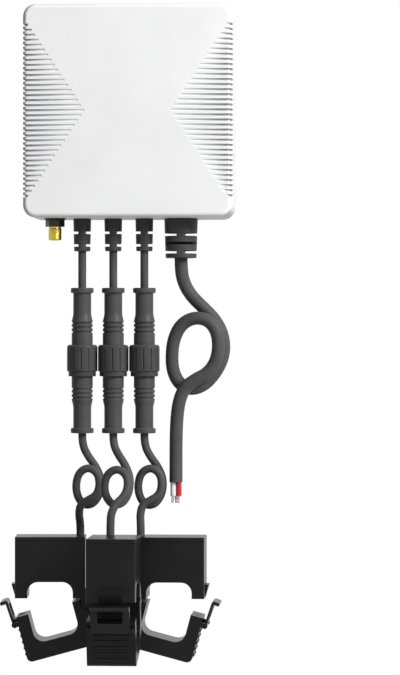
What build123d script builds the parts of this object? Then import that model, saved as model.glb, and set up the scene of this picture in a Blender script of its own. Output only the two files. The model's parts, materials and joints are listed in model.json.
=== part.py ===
from build123d import *
import math
import os

# A wall-hung energy meter in millimetres. X runs to the right, Z runs up and Y runs into the wall.
# The origin is the centre of the case's back face. "Depth" is a distance in front of the wall, so it is -Y.

# Clearances and overruns
overrun = 1.0
running_gap = 0.05
side_gap = 0.2
parting_gap = 0.1
thread_gap = 0.1
floor_gap = 0.5

# Case
case_width = 98.0
case_height = 100.0
seam_depth = 17.0
front_depth = 17.0
case_depth = seam_depth + front_depth
case_corner = 6.0
case_wall = 2.5
front_round = 2.2
back_chamfer = 1.0
case_floor = -case_height / 2

# Grooves that fan out over the two sides of the front cover
groove_rows = 35
groove_pitch = 2.35
groove_width = 1.15
groove_edge_depth = 1.3
groove_long_reach = 28.9
groove_short_reach = 2.8
groove_side_reach = 11.0

# Seal between the covers
seal_width = 1.2
seal_height = 1.0
tongue_height = 0.6

# Case screws and the posts that they go through
screw_inset = 7.0
screw_post_radius = 3.6
screw_radius = 1.5
screw_head_radius = 2.6
screw_head_height = 1.8
screw_slot_width = 0.8
screw_recess = 9.0
post_end_wall = 2.5
screw_end_gap = 2.0
screw_hole_end = case_depth - case_wall - post_end_wall
screw_length = screw_hole_end - screw_end_gap - screw_recess

# Keyholes in closed pockets of the rear cover
keyhole_height = 26.0
keyhole_head_radius = 4.0
keyhole_slot_radius = 2.1
keyhole_slot_length = 7.0
keyhole_depth = 5.0
keyhole_pocket_wall = 1.5

# Main board, fitted between the case walls
board_side_gap = 8.5
board_end_gap = 7.5
board_width = case_width - 2 * (case_wall + board_side_gap)
board_height = case_height - 2 * (case_wall + board_end_gap)
board_thickness = 1.6
board_depth = 8.5
board_corner = 1.0
board_post_radius = 3.0
board_screw_radius = 1.1
board_screw_head = 2.2
board_screw_head_height = 1.4
board_screw_length = 6.0
board_screw_inset = 4.0
board_front = board_depth + board_thickness

# What stands on the board. A size is (width, height off the board, height up the board).
terminal_size = (10.5, 10.0, 8.0)
power_terminal_width = 13.0
terminal_edge_gap = 2.0
terminal_bottom = terminal_edge_gap - board_height / 2
terminal_top = terminal_bottom + terminal_size[2]
terminal_screw_gap = 1.8
board_screw_x = board_width / 2 - board_screw_inset
keyhole_post_gap = 0.5
keyhole_reach = keyhole_head_radius + keyhole_pocket_wall
keyhole_spread = 2 * (board_screw_x - board_post_radius - keyhole_post_gap - keyhole_reach)
board_screw_high = board_height / 2 - board_screw_inset
board_screw_low = terminal_top + terminal_screw_gap + board_screw_head
module_size = (34.0, 14.0, 26.0)
module_side_gap = 3.0
module_top_gap = 7.0
module_corner = 1.0
module_centre = (
    board_width / 2 - module_side_gap - module_size[0] / 2,
    board_height / 2 - module_top_gap - module_size[2] / 2,
)
capacitor_radius = 5.0
capacitor_length = 15.0
capacitor_module_gap = 4.0
capacitor_gap = 1.5
capacitor_raise = 1.25
radio_size = (18.0, 3.2, 22.0)
radio_side_gap = 5.0
radio_screw_gap = 3.3
radio_board_thickness = 1.0
radio_can_margin = 1.25
radio_antenna_strip = 6.0
radio_centre = (
    radio_side_gap + radio_size[0] / 2 - board_width / 2,
    board_screw_low + board_screw_head + radio_screw_gap + radio_size[2] / 2,
)
chip_size = (10.0, 1.6, 10.0)
chip_leg_height = 0.3
chip_leg_reach = 0.8
chip_radio_gap = 5.2
chip_raise = 2.75

# The capacitors stand a little above the middle between the radio module and the board's top edge, the chip a
# little above the middle between the terminals and the lowest capacitor
capacitor_x = module_centre[0] - module_size[0] / 2 - capacitor_module_gap - capacitor_radius
capacitor_z = (radio_centre[1] + radio_size[2] / 2 + board_height / 2) / 2 + capacitor_raise
capacitor_step = 2 * capacitor_radius + capacitor_gap
capacitors_bottom = capacitor_z - capacitor_step - capacitor_radius
chip_centre = (
    radio_centre[0] + radio_size[0] / 2 + chip_radio_gap + chip_leg_reach + chip_size[0] / 2,
    (capacitors_bottom + terminal_top) / 2 + chip_raise,
)

# Antenna jack
jack_seam_gap = 6.0
jack_depth = seam_depth + jack_seam_gap
jack_thread_radius = 3.175
jack_length = 10.3
jack_chamfer = 0.5
jack_relief = 0.5
jack_relief_depth = 0.275
jack_bore = 2.3
jack_bore_depth = 4.0
jack_flange_radius = 4.4
jack_flange_height = 1.8
jack_tail = 5.0
jack_tail_radius = 1.7
jack_nut_across = 8.0
jack_nut_height = 3.2
jack_washer_radius = 5.0
jack_washer_height = 0.8
jack_pin_radius = 0.5
jack_pin_inset = 1.0
insulator_height = 2.0
pigtail_radius = 0.7

# Moulded glands, held in the seam. The blocks' heights run from the case floor down, and a slot parts each
# block from the next.
lead_depth = seam_depth
lead_radius = 1.9
lead_core_radius = 1.1
gland_radius = 4.2
gland_end_radius = 3.85
gland_neck_radius = 3.1
gland_inner_height = 2.0
gland_blocks = (6.0, 4.7, 2.1)
gland_slot = 1.25
gland_web_wall = 0.4
gland_web = 2 * (lead_core_radius + gland_web_wall)
power_radius = 3.1
power_core_radius = 1.45
power_gland_radius = 7.9
power_gland_end_radius = 7.3
power_neck_radius = 6.2
power_blocks = (7.0, 7.0, 2.1)
power_web_wall = 0.2
power_web = 2 * (power_core_radius + power_web_wall)
power_front_slot = 1.2

# Round connectors in the sensor leads
connector_top = -82.6
connector_barrel_radius = 4.25
connector_flange_step = 1.15
connector_flange_radius = connector_barrel_radius + connector_flange_step
connector_flange_height = 2.4
connector_grip_step = 0.75
connector_grip_radius = connector_barrel_radius + connector_grip_step
connector_barrel_length = 9.8
connector_flare = 3.4
rib_count = 3
rib_pitch = 2.1
rib_depth = 0.5
rib_gap = 0.8
rib_start = connector_flange_height + connector_barrel_length + connector_flare + rib_pitch / 2
grip_length = rib_start + (rib_count - 1 / 2) * rib_pitch
socket_grip_gap = 4.9
plug_grip_gap = 4.9
lead_grip = 11.0
shell_collar_step = 0.9
shell_collar_radius = connector_grip_radius + shell_collar_step
shell_collar_height = 2.5
nut_length = 12.6
nut_collar_length = 2.3
nut_bore_gap = 0.2
nut_bore_radius = shell_collar_radius + nut_bore_gap
nut_wall = 1.1
nut_radius = nut_bore_radius + nut_wall
nut_collar_wall = 0.4
nut_collar_radius = nut_bore_radius + nut_collar_wall
nut_chamfer = 0.9
nut_lip = 1.8
nut_grips = 12
nut_grip_radius = 0.45
nut_gap = 0.3
connector_seal_height = 0.8
connector_seal_inner = 3.2
connector_seal_outer = 4.6
contact_spread = 1.7
contact_radius = 0.95
contact_pin_radius = 0.5
contact_length = 14.0
plug_pin_reach = 8.0
sleeve_inset = 1.0

# Split-core clamp, drawn closed: x runs from the latch to the hinge, z = 0 is the parting line
clamp_width = 33.0
clamp_thickness = 22.5
clamp_body_height = 28.7
clamp_edge = 0.7
clamp_wall = 1.45
lid_height = 2.0
core_thickness = 3.0
window_wall = 1.4
window_width = clamp_width - 2 * (clamp_wall + core_thickness + window_wall)
window_body_height = 7.6
window_jaw_depth = 14.4
window_corner = 5.0
jaw_floor = 3.25
clamp_jaw_height = window_jaw_depth + clamp_wall + core_thickness + jaw_floor
coil_length = 18.0
coil_wall = 3.4
coil_round = 1.7
coil_side_gap = 0.4
coil_bottom_gap = 1.55
core_width = clamp_thickness - 2 * (clamp_wall + coil_side_gap + coil_wall)
core_bar_height = window_body_height + clamp_wall + coil_bottom_gap + coil_wall
hinge_out = 0.9
hinge_drop = 2.2
knuckle_radius = 3.0
ear_width = 3.75
knuckle_half = clamp_thickness / 2 - ear_width - side_gap
pin_radius = 1.2
jaw_heel_radius = 4.5
jaw_toe_radius = 2.4
gusset_height = 5.0
jaw_gusset_drop = 7.3
cord_inset = 2.6
cord_side_shift = 2.6
wedge_width = 10.5
wedge_reach = 1.85
wedge_height = 6.3
lug_radius = 1.15
lug_thickness = 1.6
lug_side_gap = 0.45
latch_width = clamp_thickness - 2 * (lug_thickness + side_gap + lug_side_gap)
latch_thickness = 1.3
latch_standoff = 1.3
latch_pivot_drop = 3.5
latch_tail = 1.6
latch_tail_round = 0.6
latch_top = 8.7
latch_wedge_gap = 0.5
latch_window_width = wedge_width + 2 * latch_wedge_gap
latch_window_bottom = 0.4
latch_hook_reach = 2.5
latch_hook_height = 1.7
latch_hook_round = 0.8
latch_bend_radius = 1.2
trunnion_radius = 0.6
grip_ridges = 5
grip_pitch = 2.95
grip_height = 1.1
grip_proud = 0.6
grip_first_drop = 6.0
grip_width = 16.0
jaw_open_angle = 15.0
latch_rest_angle = 4.0

# How the clamps hang: to the right of their own lead, at a depth, so far under their connector, and turned
# about Z
left_clamp_shift = -14.85
middle_clamp_shift = 3.55
right_clamp_shift = 12.35
side_clamp_depth = 17.0
middle_clamp_gap = 7.35
middle_clamp_depth = (
    side_clamp_depth + clamp_thickness / 2 + middle_clamp_gap + clamp_width / 2 + hinge_out + knuckle_radius
)
side_clamp_drop = 48.4
middle_clamp_drop = 46.4
left_clamp_turn = 4.0
middle_clamp_turn = 90.0
right_clamp_turn = 180.0

# Ends of the supply cable
wire_radius = 1.3
wire_circle = 1.55
strand_radius = 0.85
wire_length = 6.5
strand_length = 3.3
wire_angles = {"red_wire": -25.0, "white_wire": 215.0, "black_wire": 95.0}

# Routes, chosen point by point. A point is (to the right, forward, up), measured from where the cord leaves
# its connector or its gland.
run_share = 0.45
sensor_loop = (
    (0.0, 0.0, -5.3), (2.5, -0.9, -10.7), (6.2, -2.0, -15.7), (8.7, -2.4, -21.5),
    (8.4, -2.4, -28.1), (5.2, -2.4, -33.5), (0.6, -2.4, -34.3), (-2.5, -2.0, -30.1),
    (-3.2, -1.0, -24.3), (-1.5, 0.6, -18.5), (3.2, 1.9, -15.9), (7.6, 2.5, -18.7),
    (8.6, 2.5, -24.1), (7.2, 2.5, -29.1), (2.8, 2.5, -31.6), (-0.7, 2.4, -33.7),
)
left_cord_tail = ((-1.6, 0.1, -38.1), (-1.2, -3.6, -43.0), (-1.2, -3.6, -48.4))
right_cord_tail = ((-1.8, 2.6, -38.1), (-1.5, 2.6, -42.6), (-1.5, 2.6, -48.4))
middle_cord = (
    (0.0, 0.0, -5.1), (2.4, 1.8, -9.9), (6.0, 4.2, -14.7), (8.5, 6.4, -20.5),
    (8.4, 8.4, -26.9), (5.6, 10.0, -32.5), (0.9, 11.6, -33.5), (-2.3, 13.0, -29.5),
    (-3.1, 14.2, -23.9), (-1.3, 15.4, -18.3), (3.4, 16.6, -15.9), (7.8, 17.8, -18.7),
    (8.7, 19.4, -23.9), (7.2, 21.2, -28.5), (3.4, 23.0, -31.9), (1.2, 24.6, -36.1),
    (0.9, 25.1, -40.8), (0.9, 25.1, -46.4),
)
power_route = (
    (0.0, 0.0, -6.3), (1.6, -0.9, -12.6), (4.9, -1.9, -18.0), (9.5, -2.8, -22.6),
    (14.7, -3.5, -27.6), (18.8, -3.7, -34.0), (20.3, -3.7, -41.6), (19.0, -3.7, -48.6),
    (15.2, -3.7, -55.2), (10.2, -3.7, -60.2), (4.1, -3.6, -62.0), (-1.2, -3.2, -59.2),
    (-4.1, -2.2, -53.2), (-4.5, -1.0, -45.8), (-3.5, 0.4, -38.2), (-0.1, 1.8, -31.4),
    (5.9, 3.0, -28.0), (12.5, 3.6, -28.8), (16.9, 3.8, -33.8), (18.1, 3.8, -41.0),
    (16.9, 3.8, -48.4), (12.9, 3.8, -54.2), (7.1, 3.8, -57.0), (2.0, 3.6, -60.8),
    (-0.6, 3.0, -66.6), (-1.8, 1.8, -74.0), (-2.3, 0.7, -83.6), (-2.4, 0.0, -94.0),
    (-2.4, 0.0, -105.5),
)

# Openings across the case floor. Each neighbour gets the width that it needs, and a share of what is left
# over: the jack from the case's side, the leads from the jack and the supply cable from the leads.
jack_side_share = 0.065
jack_lead_share = 0.1275
lead_power_share = 0.1026
sides = ("left", "middle", "right")
lead_pitch = 2 * nut_radius + nut_gap
power_loop_reach = -min(right for right, forward, up in power_route)
jack_side_need = screw_inset + screw_post_radius + jack_tail_radius + floor_gap
jack_lead_need = jack_washer_radius + gland_radius + floor_gap
lead_power_need = nut_radius + power_loop_reach + power_radius + floor_gap
power_side_need = power_gland_radius + case_wall + floor_gap
leads_width = lead_pitch * (len(sides) - 1)
spare_width = (
    case_width - jack_side_need - jack_lead_need - leads_width - lead_power_need - power_side_need
)
jack_x = jack_side_need + spare_width * jack_side_share - case_width / 2
first_lead_x = jack_x + jack_lead_need + spare_width * jack_lead_share
power_x = first_lead_x + leads_width + lead_power_need + spare_width * lead_power_share

parts = {}


def slab(width, height, radius, back, front):
    """A rounded plate that faces the viewer, between two depths."""
    outline = Plane.XZ.offset(back) * RectangleRounded(width, height, radius)
    return extrude(outline, front - back)


def inset_slab(inset, back, front):
    """The case's outline drawn in by an inset, between two depths."""
    return slab(case_width - 2 * inset, case_height - 2 * inset, case_corner - inset, back, front)


def block(x_span, y_span, z_span):
    """A box between two values along each axis."""
    size = [high - low for low, high in (x_span, y_span, z_span)]
    centre = [(high + low) / 2 for low, high in (x_span, y_span, z_span)]
    return Pos(*centre) * Box(*size)


def post(radius, bottom, top, x=0, y=0):
    """An upright cylinder between two heights."""
    return Pos(x, y, (bottom + top) / 2) * Cylinder(radius, top - bottom)


def peg(radius, back, front, x, z):
    """A cylinder that points at the viewer, between two depths."""
    return Pos(x, -(back + front) / 2, z) * Rot(X=90) * Cylinder(radius, front - back)


def cross_pin(radius, low_y, high_y, x, z):
    """A cylinder along Y."""
    return Pos(x, (low_y + high_y) / 2, z) * Rot(X=90) * Cylinder(radius, high_y - low_y)


def turned(outline, x=0, y=0):
    """A turned piece from the (radius, height) points of its half section."""
    face = make_face(Polyline(*[(radius, 0, height) for radius, height in outline], close=True))
    return Pos(x, y, 0) * revolve(face, Axis.Z)


def prism(outline, low_y, high_y):
    """A plate in XZ from its (x, z) points, between two values of y."""
    face = make_face(Polyline(*[(x, low_y, z) for x, z in outline], close=True))
    return extrude(face, high_y - low_y, dir=(0, 1, 0))


def group(shapes):
    """Separate solids that share one node."""
    solids = [solid for shape in shapes for solid in shape.solids()]
    return Compound(children=solids)


# Places of the three sensor leads and of all four glands
lead_y = -lead_depth
lead_x = {side: first_lead_x + lead_pitch * number for number, side in enumerate(sides)}
gland_places = [(lead_x[side], gland_neck_radius) for side in sides] + [(power_x, power_neck_radius)]
screw_x = case_width / 2 - screw_inset
screw_z = case_height / 2 - screw_inset
screw_places = [(x, z) for x in (-screw_x, screw_x) for z in (-screw_z, screw_z)]
board_places = [(x, z) for x in (-board_screw_x, board_screw_x) for z in (board_screw_low, board_screw_high)]
capacitor_places = (
    (capacitor_x, capacitor_z), (capacitor_x - capacitor_step, capacitor_z),
    (capacitor_x, capacitor_z - capacitor_step),
)
seal_inset = (case_wall - seal_width) / 2
jack_y = -jack_depth
wire_top = terminal_bottom + terminal_size[2] / 2


def gland_holes():
    """The round holes of the glands through the case floor."""
    return [post(radius, case_floor - overrun, case_floor + case_wall + overrun, x, lead_y)
            for x, radius in gland_places]


def groove_cutters():
    """Wedges that are deepest at the case's side and run out to nothing on the front."""
    cutters = []
    middle_row = (groove_rows - 1) / 2
    half_width = case_width / 2
    back_y = -(case_depth - groove_side_reach)
    for row in range(groove_rows):
        from_middle = abs(row - middle_row) / middle_row
        reach = groove_long_reach + (groove_short_reach - groove_long_reach) * from_middle
        height = (row - middle_row) * groove_pitch
        for side in (-1, 1):
            inner = side * (half_width - groove_edge_depth)
            outline = [
                (side * (half_width - reach), -case_depth),
                (side * (half_width - reach), -case_depth - overrun),
                (side * (half_width + overrun), -case_depth - overrun),
                (side * (half_width + overrun), back_y),
                (side * half_width, back_y),
                (inner, back_y - groove_edge_depth),
                (inner, -case_depth + groove_edge_depth),
            ]
            face = make_face(Polyline(*[(x, y, height - groove_width / 2) for x, y in outline], close=True))
            cutters.append(extrude(face, groove_width, dir=(0, 0, 1)))
    return cutters


def make_front_cover():
    """The deep front shell with its tongue, screw posts and grooved sides."""
    shell = inset_slab(0, seam_depth, case_depth)
    shell = fillet(shell.edges().group_by(Axis.Y)[0], front_round)
    shell -= inset_slab(case_wall, seam_depth - overrun, case_depth - case_wall)
    tongue = inset_slab(seal_inset, seam_depth - tongue_height, seam_depth)
    tongue -= inset_slab(seal_inset + seal_width, seam_depth - tongue_height - overrun, seam_depth + overrun)
    shell += tongue
    for x, z in screw_places:
        shell += peg(screw_post_radius, seam_depth, case_depth - case_wall, x, z)
        shell -= peg(screw_radius, seam_depth - overrun, screw_hole_end, x, z)
    through = (case_floor - overrun, case_floor + case_wall + overrun)
    jack_hole = post(jack_thread_radius, *through, jack_x, jack_y)
    shell = shell - gland_holes() - [jack_hole]
    return shell - groove_cutters()


def keyhole_shape(head_radius, slot_radius, back, front, x):
    """A round entry with a narrower slot above it."""
    top = keyhole_height + keyhole_slot_length
    slot = block((x - slot_radius, x + slot_radius), (-front, -back), (keyhole_height, top))
    return peg(head_radius, back, front, x, keyhole_height) + slot + peg(slot_radius, back, front, x, top)


def make_rear_cover():
    """The rear tray with screw posts, board posts, keyhole pockets and the seal's groove."""
    shell = inset_slab(0, 0, seam_depth)
    shell = chamfer(shell.edges().group_by(Axis.Y)[-1], back_chamfer)
    shell -= inset_slab(case_wall, case_wall, seam_depth + overrun)
    groove = inset_slab(seal_inset, seam_depth - tongue_height - seal_height, seam_depth + overrun)
    groove -= inset_slab(seal_inset + seal_width, 0, seam_depth + 2 * overrun)
    shell -= groove
    for x, z in screw_places:
        shell += peg(screw_post_radius, case_wall, seam_depth, x, z)
        shell -= peg(screw_radius, -overrun, seam_depth + overrun, x, z)
        shell -= peg(screw_head_radius, -overrun, screw_recess, x, z)
    for x, z in board_places:
        shell += peg(board_post_radius, case_wall, board_depth, x, z)
        shell -= peg(board_screw_radius, board_front - board_screw_length, board_depth + overrun, x, z)
    for x in (-keyhole_spread / 2, keyhole_spread / 2):
        wall = keyhole_pocket_wall
        shell += keyhole_shape(keyhole_reach, keyhole_reach, case_wall / 2, keyhole_depth + wall, x)
        shell -= keyhole_shape(keyhole_head_radius, keyhole_head_radius, case_wall, keyhole_depth, x)
        shell -= keyhole_shape(keyhole_head_radius, keyhole_slot_radius, -overrun, case_wall + overrun, x)
    return shell - gland_holes()


def make_cover_seal():
    """The seal in the rear cover's groove, parted where the glands pass."""
    bottom = seam_depth - tongue_height - seal_height
    ring = inset_slab(seal_inset, bottom, seam_depth - tongue_height)
    ring -= inset_slab(seal_inset + seal_width, bottom - overrun, seam_depth + overrun)
    return group([ring - gland_holes()])


def make_cover_screws():
    """Four screws that come in from the back."""
    screws = []
    for x, z in screw_places:
        head = peg(screw_head_radius, screw_recess - screw_head_height, screw_recess, x, z)
        head -= block(
            (x - screw_head_radius, x + screw_head_radius), (screw_head_height / 2 - screw_recess, 0),
            (z - screw_slot_width / 2, z + screw_slot_width / 2),
        )
        screws.append(head + peg(screw_radius, screw_recess, screw_recess + screw_length, x, z))
    return group(screws)


def on_board(size, centre):
    """A box of (width, depth, height) that stands on the board."""
    width, depth, height = size
    x, z = centre
    return block(
        (x - width / 2, x + width / 2), (-board_front - depth, -board_front), (z - height / 2, z + height / 2)
    )


def make_main_board():
    """The circuit board with its four screw holes."""
    board = slab(board_width, board_height, board_corner, board_depth, board_front)
    for x, z in board_places:
        board -= peg(board_screw_radius, board_depth - overrun, board_front + overrun, x, z)
    return board


def make_board_screws():
    """Four screws that hold the board on its posts."""
    return group([
        peg(board_screw_head, board_front, board_front + board_screw_head_height, x, z)
        + peg(board_screw_radius, board_front - board_screw_length, board_front, x, z)
        for x, z in board_places
    ])


def make_power_module():
    """The sealed mains converter block."""
    module = on_board(module_size, module_centre)
    return fillet(module.edges().group_by(Axis.Y)[0], module_corner)


def make_capacitors():
    """Round filter capacitors that stand on the board."""
    return group([
        peg(capacitor_radius, board_front, board_front + capacitor_length, x, z) for x, z in capacitor_places
    ])


def make_metering_chip():
    """The measuring chip: a flat body on short feet."""
    width, depth, height = chip_size
    feet = on_board((width + 2 * chip_leg_reach, chip_leg_height, height - depth), chip_centre)
    return on_board(chip_size, chip_centre) + feet


def make_radio_module():
    """The radio board with a shield can over all but its antenna end."""
    width, depth, height = radio_size
    x, z = radio_centre
    base = on_board((width, radio_board_thickness, height), radio_centre)
    can_size = (width - 2 * radio_can_margin, depth, height - radio_can_margin - radio_antenna_strip)
    return base + on_board(can_size, (x, z - (radio_antenna_strip - radio_can_margin) / 2))


def terminal_width(x):
    """The supply terminal is wider than the sensor terminals."""
    return power_terminal_width if x == power_x else terminal_size[0]


def make_terminal_blocks():
    """One block over each gland, with a bore for the wires that come up."""
    blocks = []
    bores = [(lead_x[side], lead_core_radius) for side in sides] + [(power_x, power_core_radius)]
    for x, radius in bores:
        size = (terminal_width(x), terminal_size[1], terminal_size[2])
        body = on_board(size, (x, wire_top))
        blocks.append(body - post(radius, terminal_bottom - overrun, wire_top, x, lead_y))
    return group(blocks)


def make_antenna_jack():
    """The threaded jack with its inner flange and the tail that the pigtail is crimped in."""
    outer_end = case_floor - jack_length
    inner = case_floor + case_wall
    tail_start = inner + jack_flange_height
    tail_end = tail_start + jack_tail
    outline = [
        (0, outer_end), (jack_thread_radius - jack_chamfer, outer_end),
        (jack_thread_radius, outer_end + jack_chamfer), (jack_thread_radius, inner),
        (jack_flange_radius, inner), (jack_flange_radius, tail_start), (jack_tail_radius, tail_start),
        (jack_tail_radius, tail_end), (0, tail_end),
    ]
    body = turned(outline, jack_x, jack_y)
    body -= post(jack_bore, outer_end - overrun, outer_end + jack_bore_depth, jack_x, jack_y)
    free_top = case_floor - jack_washer_height - jack_nut_height
    relief = post(jack_flange_radius, free_top - jack_relief, free_top, jack_x, jack_y)
    relief_radius = jack_thread_radius - jack_relief_depth
    body -= relief - post(relief_radius, free_top - overrun, free_top + overrun, jack_x, jack_y)
    return body - post(jack_pin_radius, outer_end, tail_end + overrun, jack_x, jack_y)


def make_antenna_insulator():
    """The white insulator at the bottom of the jack's bore, round the centre pin."""
    floor = case_floor - jack_length + jack_bore_depth
    body = post(jack_bore, floor - insulator_height, floor, jack_x, jack_y)
    return body - post(jack_pin_radius, floor - jack_bore_depth, floor + overrun, jack_x, jack_y)


def hexagon(across, bottom, top, x, y, bore):
    """A hexagon nut with its bore."""
    outline = Pos(x, y, bottom) * RegularPolygon(across / 2, 6, major_radius=False)
    return extrude(outline, top - bottom) - post(bore, bottom - overrun, top + overrun, x, y)


def make_antenna_washer():
    """The washer between the case and the jack's nut."""
    washer = post(jack_washer_radius, case_floor - jack_washer_height, case_floor, jack_x, jack_y)
    return washer - post(jack_thread_radius, case_floor - jack_length, case_floor + overrun, jack_x, jack_y)


def make_antenna_nut():
    """The nut that clamps the jack in the case floor."""
    top = case_floor - jack_washer_height
    nut = hexagon(jack_nut_across, top - jack_nut_height, top, jack_x, jack_y, jack_thread_radius)
    return nut


def make_antenna_pigtail():
    """The centre pin and the thin lead from the jack up to the radio module."""
    radio_x, radio_z = radio_centre
    inner_end = case_floor + case_wall + jack_flange_height + jack_tail
    bottom = case_floor - jack_length + jack_pin_inset
    pin = post(jack_pin_radius, bottom, inner_end, jack_x, jack_y)
    front_y = -(board_front + radio_size[1] + pigtail_radius)
    end_x = radio_x - radio_size[0] / 4
    end_z = radio_z + radio_size[2] / 4
    points = [(jack_x, jack_y, inner_end), (jack_x, jack_y, inner_end + jack_tail),
              (end_x, front_y, radio_z - radio_size[2] / 4), (end_x, front_y, end_z)]
    path = FilletPolyline(*points, radius=jack_tail)
    section = Plane(origin=points[0], z_dir=(0, 0, 1)) * Circle(pigtail_radius)
    return pin + sweep(section, path=path)


def make_gland(x, radius, end_radius, neck_radius, blocks, web, core_radius, front_slot):
    """A moulded gland: an inner flange, a neck in the case floor and slotted blocks outside."""
    inner_top = case_floor + case_wall + gland_inner_height
    length = sum(blocks) + gland_slot * (len(blocks) - 1)
    outline = [
        (core_radius, inner_top), (radius, inner_top), (radius, case_floor + case_wall),
        (neck_radius, case_floor + case_wall), (neck_radius, case_floor), (radius, case_floor),
        (end_radius, case_floor - length), (core_radius, case_floor - length),
    ]
    gland = turned(outline, x, lead_y)
    height = case_floor
    reach = radius + overrun
    for block_height in blocks[:-1]:
        height -= block_height
        for side in (-1, 1):
            span = sorted((x + side * web / 2, x + side * reach))
            gland -= block(span, (lead_y - reach, lead_y + reach), (height - gland_slot, height))
        height -= gland_slot
    if front_slot:
        top = case_floor - blocks[0] - gland_slot - (blocks[1] - front_slot) / 2
        for side in (-1, 1):
            span = sorted((lead_y + side * web / 2, lead_y + side * reach))
            gland -= block((x - reach, x + reach), span, (top - front_slot, top))
    return gland, case_floor - length


def make_lead(x, gland_end):
    """A sensor lead: its wires up through the gland and its jacket down into the connector."""
    bottom = connector_top - lead_grip
    jacket = post(lead_radius, bottom, gland_end, x, lead_y)
    wires = post(lead_core_radius, gland_end, wire_top, x, lead_y)
    return jacket + wires


# Heights along a connector
nut_top = connector_top - grip_length - socket_grip_gap
nut_bottom = nut_top - nut_length - nut_collar_length
connector_bottom = nut_bottom - plug_grip_gap - grip_length
collar_top = nut_top - nut_lip - parting_gap
shell_end = collar_top - shell_collar_height


def half_shell_outline(far_end, direction, inner, bore_radius, bore_end):
    """A shell's half section: what both shells share, and then the inner end's own points."""
    flange_end = far_end - direction * connector_flange_height
    barrel_end = far_end - direction * (connector_flange_height + connector_barrel_length)
    flare_end = barrel_end - direction * connector_flare
    return [
        (bore_radius, far_end), (connector_flange_radius, far_end), (connector_flange_radius, flange_end),
        (connector_barrel_radius, flange_end), (connector_barrel_radius, barrel_end),
        (connector_grip_radius, flare_end),
    ] + inner + [(0, inner[-1][1]), (0, bore_end), (bore_radius, bore_end)]


def rib_cutters(first, direction, x):
    """Rings that leave the grip's ribs standing."""
    cutters = []
    floor_radius = connector_grip_radius - rib_depth
    for number in range(rib_count):
        low = first - direction * (number * rib_pitch) - rib_gap / 2
        ring = post(connector_grip_radius + overrun, low, low + rib_gap, x, lead_y)
        cutters.append(ring - post(floor_radius, low - overrun, low + rib_gap + overrun, x, lead_y))
    return cutters


def contact_places(x):
    """The two contacts side by side."""
    return [(x - contact_spread, lead_y), (x + contact_spread, lead_y)]


def make_socket_shell(x):
    """The upper half: it holds the lead and keeps the coupling nut on its collar."""
    inner = [(connector_grip_radius, collar_top), (shell_collar_radius, collar_top),
             (shell_collar_radius, shell_end)]
    outline = half_shell_outline(connector_top, 1, inner, lead_radius, connector_top - lead_grip)
    shell = turned(outline, x, lead_y)
    shell -= rib_cutters(connector_top - rib_start, 1, x)
    for place_x, place_y in contact_places(x):
        shell -= post(contact_radius, shell_end - overrun, shell_end + contact_length, place_x, place_y)
    return shell


def make_plug_shell(x):
    """The lower half: its threaded sleeve goes into the nut, and the clamp's cord leaves it."""
    thread_top = shell_end - connector_seal_height
    sleeve_radius = nut_bore_radius - thread_gap
    sleeve_end = nut_bottom + sleeve_inset
    inner = [(connector_grip_radius, sleeve_end), (sleeve_radius, sleeve_end), (sleeve_radius, thread_top)]
    outline = half_shell_outline(connector_bottom, -1, inner, lead_core_radius, connector_bottom + lead_grip)
    shell = turned(outline, x, lead_y)
    shell -= rib_cutters(connector_bottom + rib_start, -1, x)
    for place_x, place_y in contact_places(x):
        shell -= post(contact_pin_radius, thread_top - plug_pin_reach, thread_top + overrun, place_x, place_y)
    return shell


def make_coupling_nut(x):
    """The ring that turns on the socket shell's collar and screws onto the plug shell."""
    collar_start = nut_top - nut_length
    outline = [
        (connector_grip_radius + thread_gap, nut_top), (nut_radius - nut_chamfer, nut_top),
        (nut_radius, nut_top - nut_chamfer), (nut_radius, collar_start + nut_chamfer / 2),
        (nut_radius - nut_chamfer / 2, collar_start), (nut_collar_radius, collar_start),
        (nut_collar_radius, nut_bottom), (nut_bore_radius, nut_bottom),
        (nut_bore_radius, nut_top - nut_lip), (connector_grip_radius + thread_gap, nut_top - nut_lip),
    ]
    nut = turned(outline, x, lead_y)
    for number in range(nut_grips):
        angle = math.radians(360 / nut_grips * number)
        grip_x = x + nut_radius * math.cos(angle)
        grip_y = lead_y + nut_radius * math.sin(angle)
        nut -= post(nut_grip_radius, collar_start + nut_chamfer, nut_top - nut_chamfer * 2, grip_x, grip_y)
    return nut


def make_connector_seals():
    """One flat ring between the two shells of each connector."""
    rings = []
    for side in sides:
        ring = post(connector_seal_outer, shell_end - connector_seal_height, shell_end, lead_x[side], lead_y)
        rings.append(ring - post(connector_seal_inner, nut_bottom, nut_top, lead_x[side], lead_y))
    return group(rings)


def make_socket_contacts():
    """Two bored contacts in each socket shell."""
    contacts = []
    for side in sides:
        for x, y in contact_places(lead_x[side]):
            tube = post(contact_radius, shell_end, shell_end + contact_length, x, y)
            bore = post(contact_pin_radius, shell_end - overrun, shell_end + plug_pin_reach, x, y)
            contacts.append(tube - bore)
    return group(contacts)


def make_plug_contacts():
    """Two pins that run from each plug shell into the socket contacts."""
    bottom = shell_end - connector_seal_height - plug_pin_reach
    return group([
        post(contact_pin_radius, bottom, shell_end + plug_pin_reach, x, y)
        for side in sides for x, y in contact_places(lead_x[side])
    ])


def corner_turn(before, corner, after):
    """How far the route turns at a corner, in degrees."""
    return (Vector(*corner) - Vector(*before)).get_angle(Vector(*after) - Vector(*corner))


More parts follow.
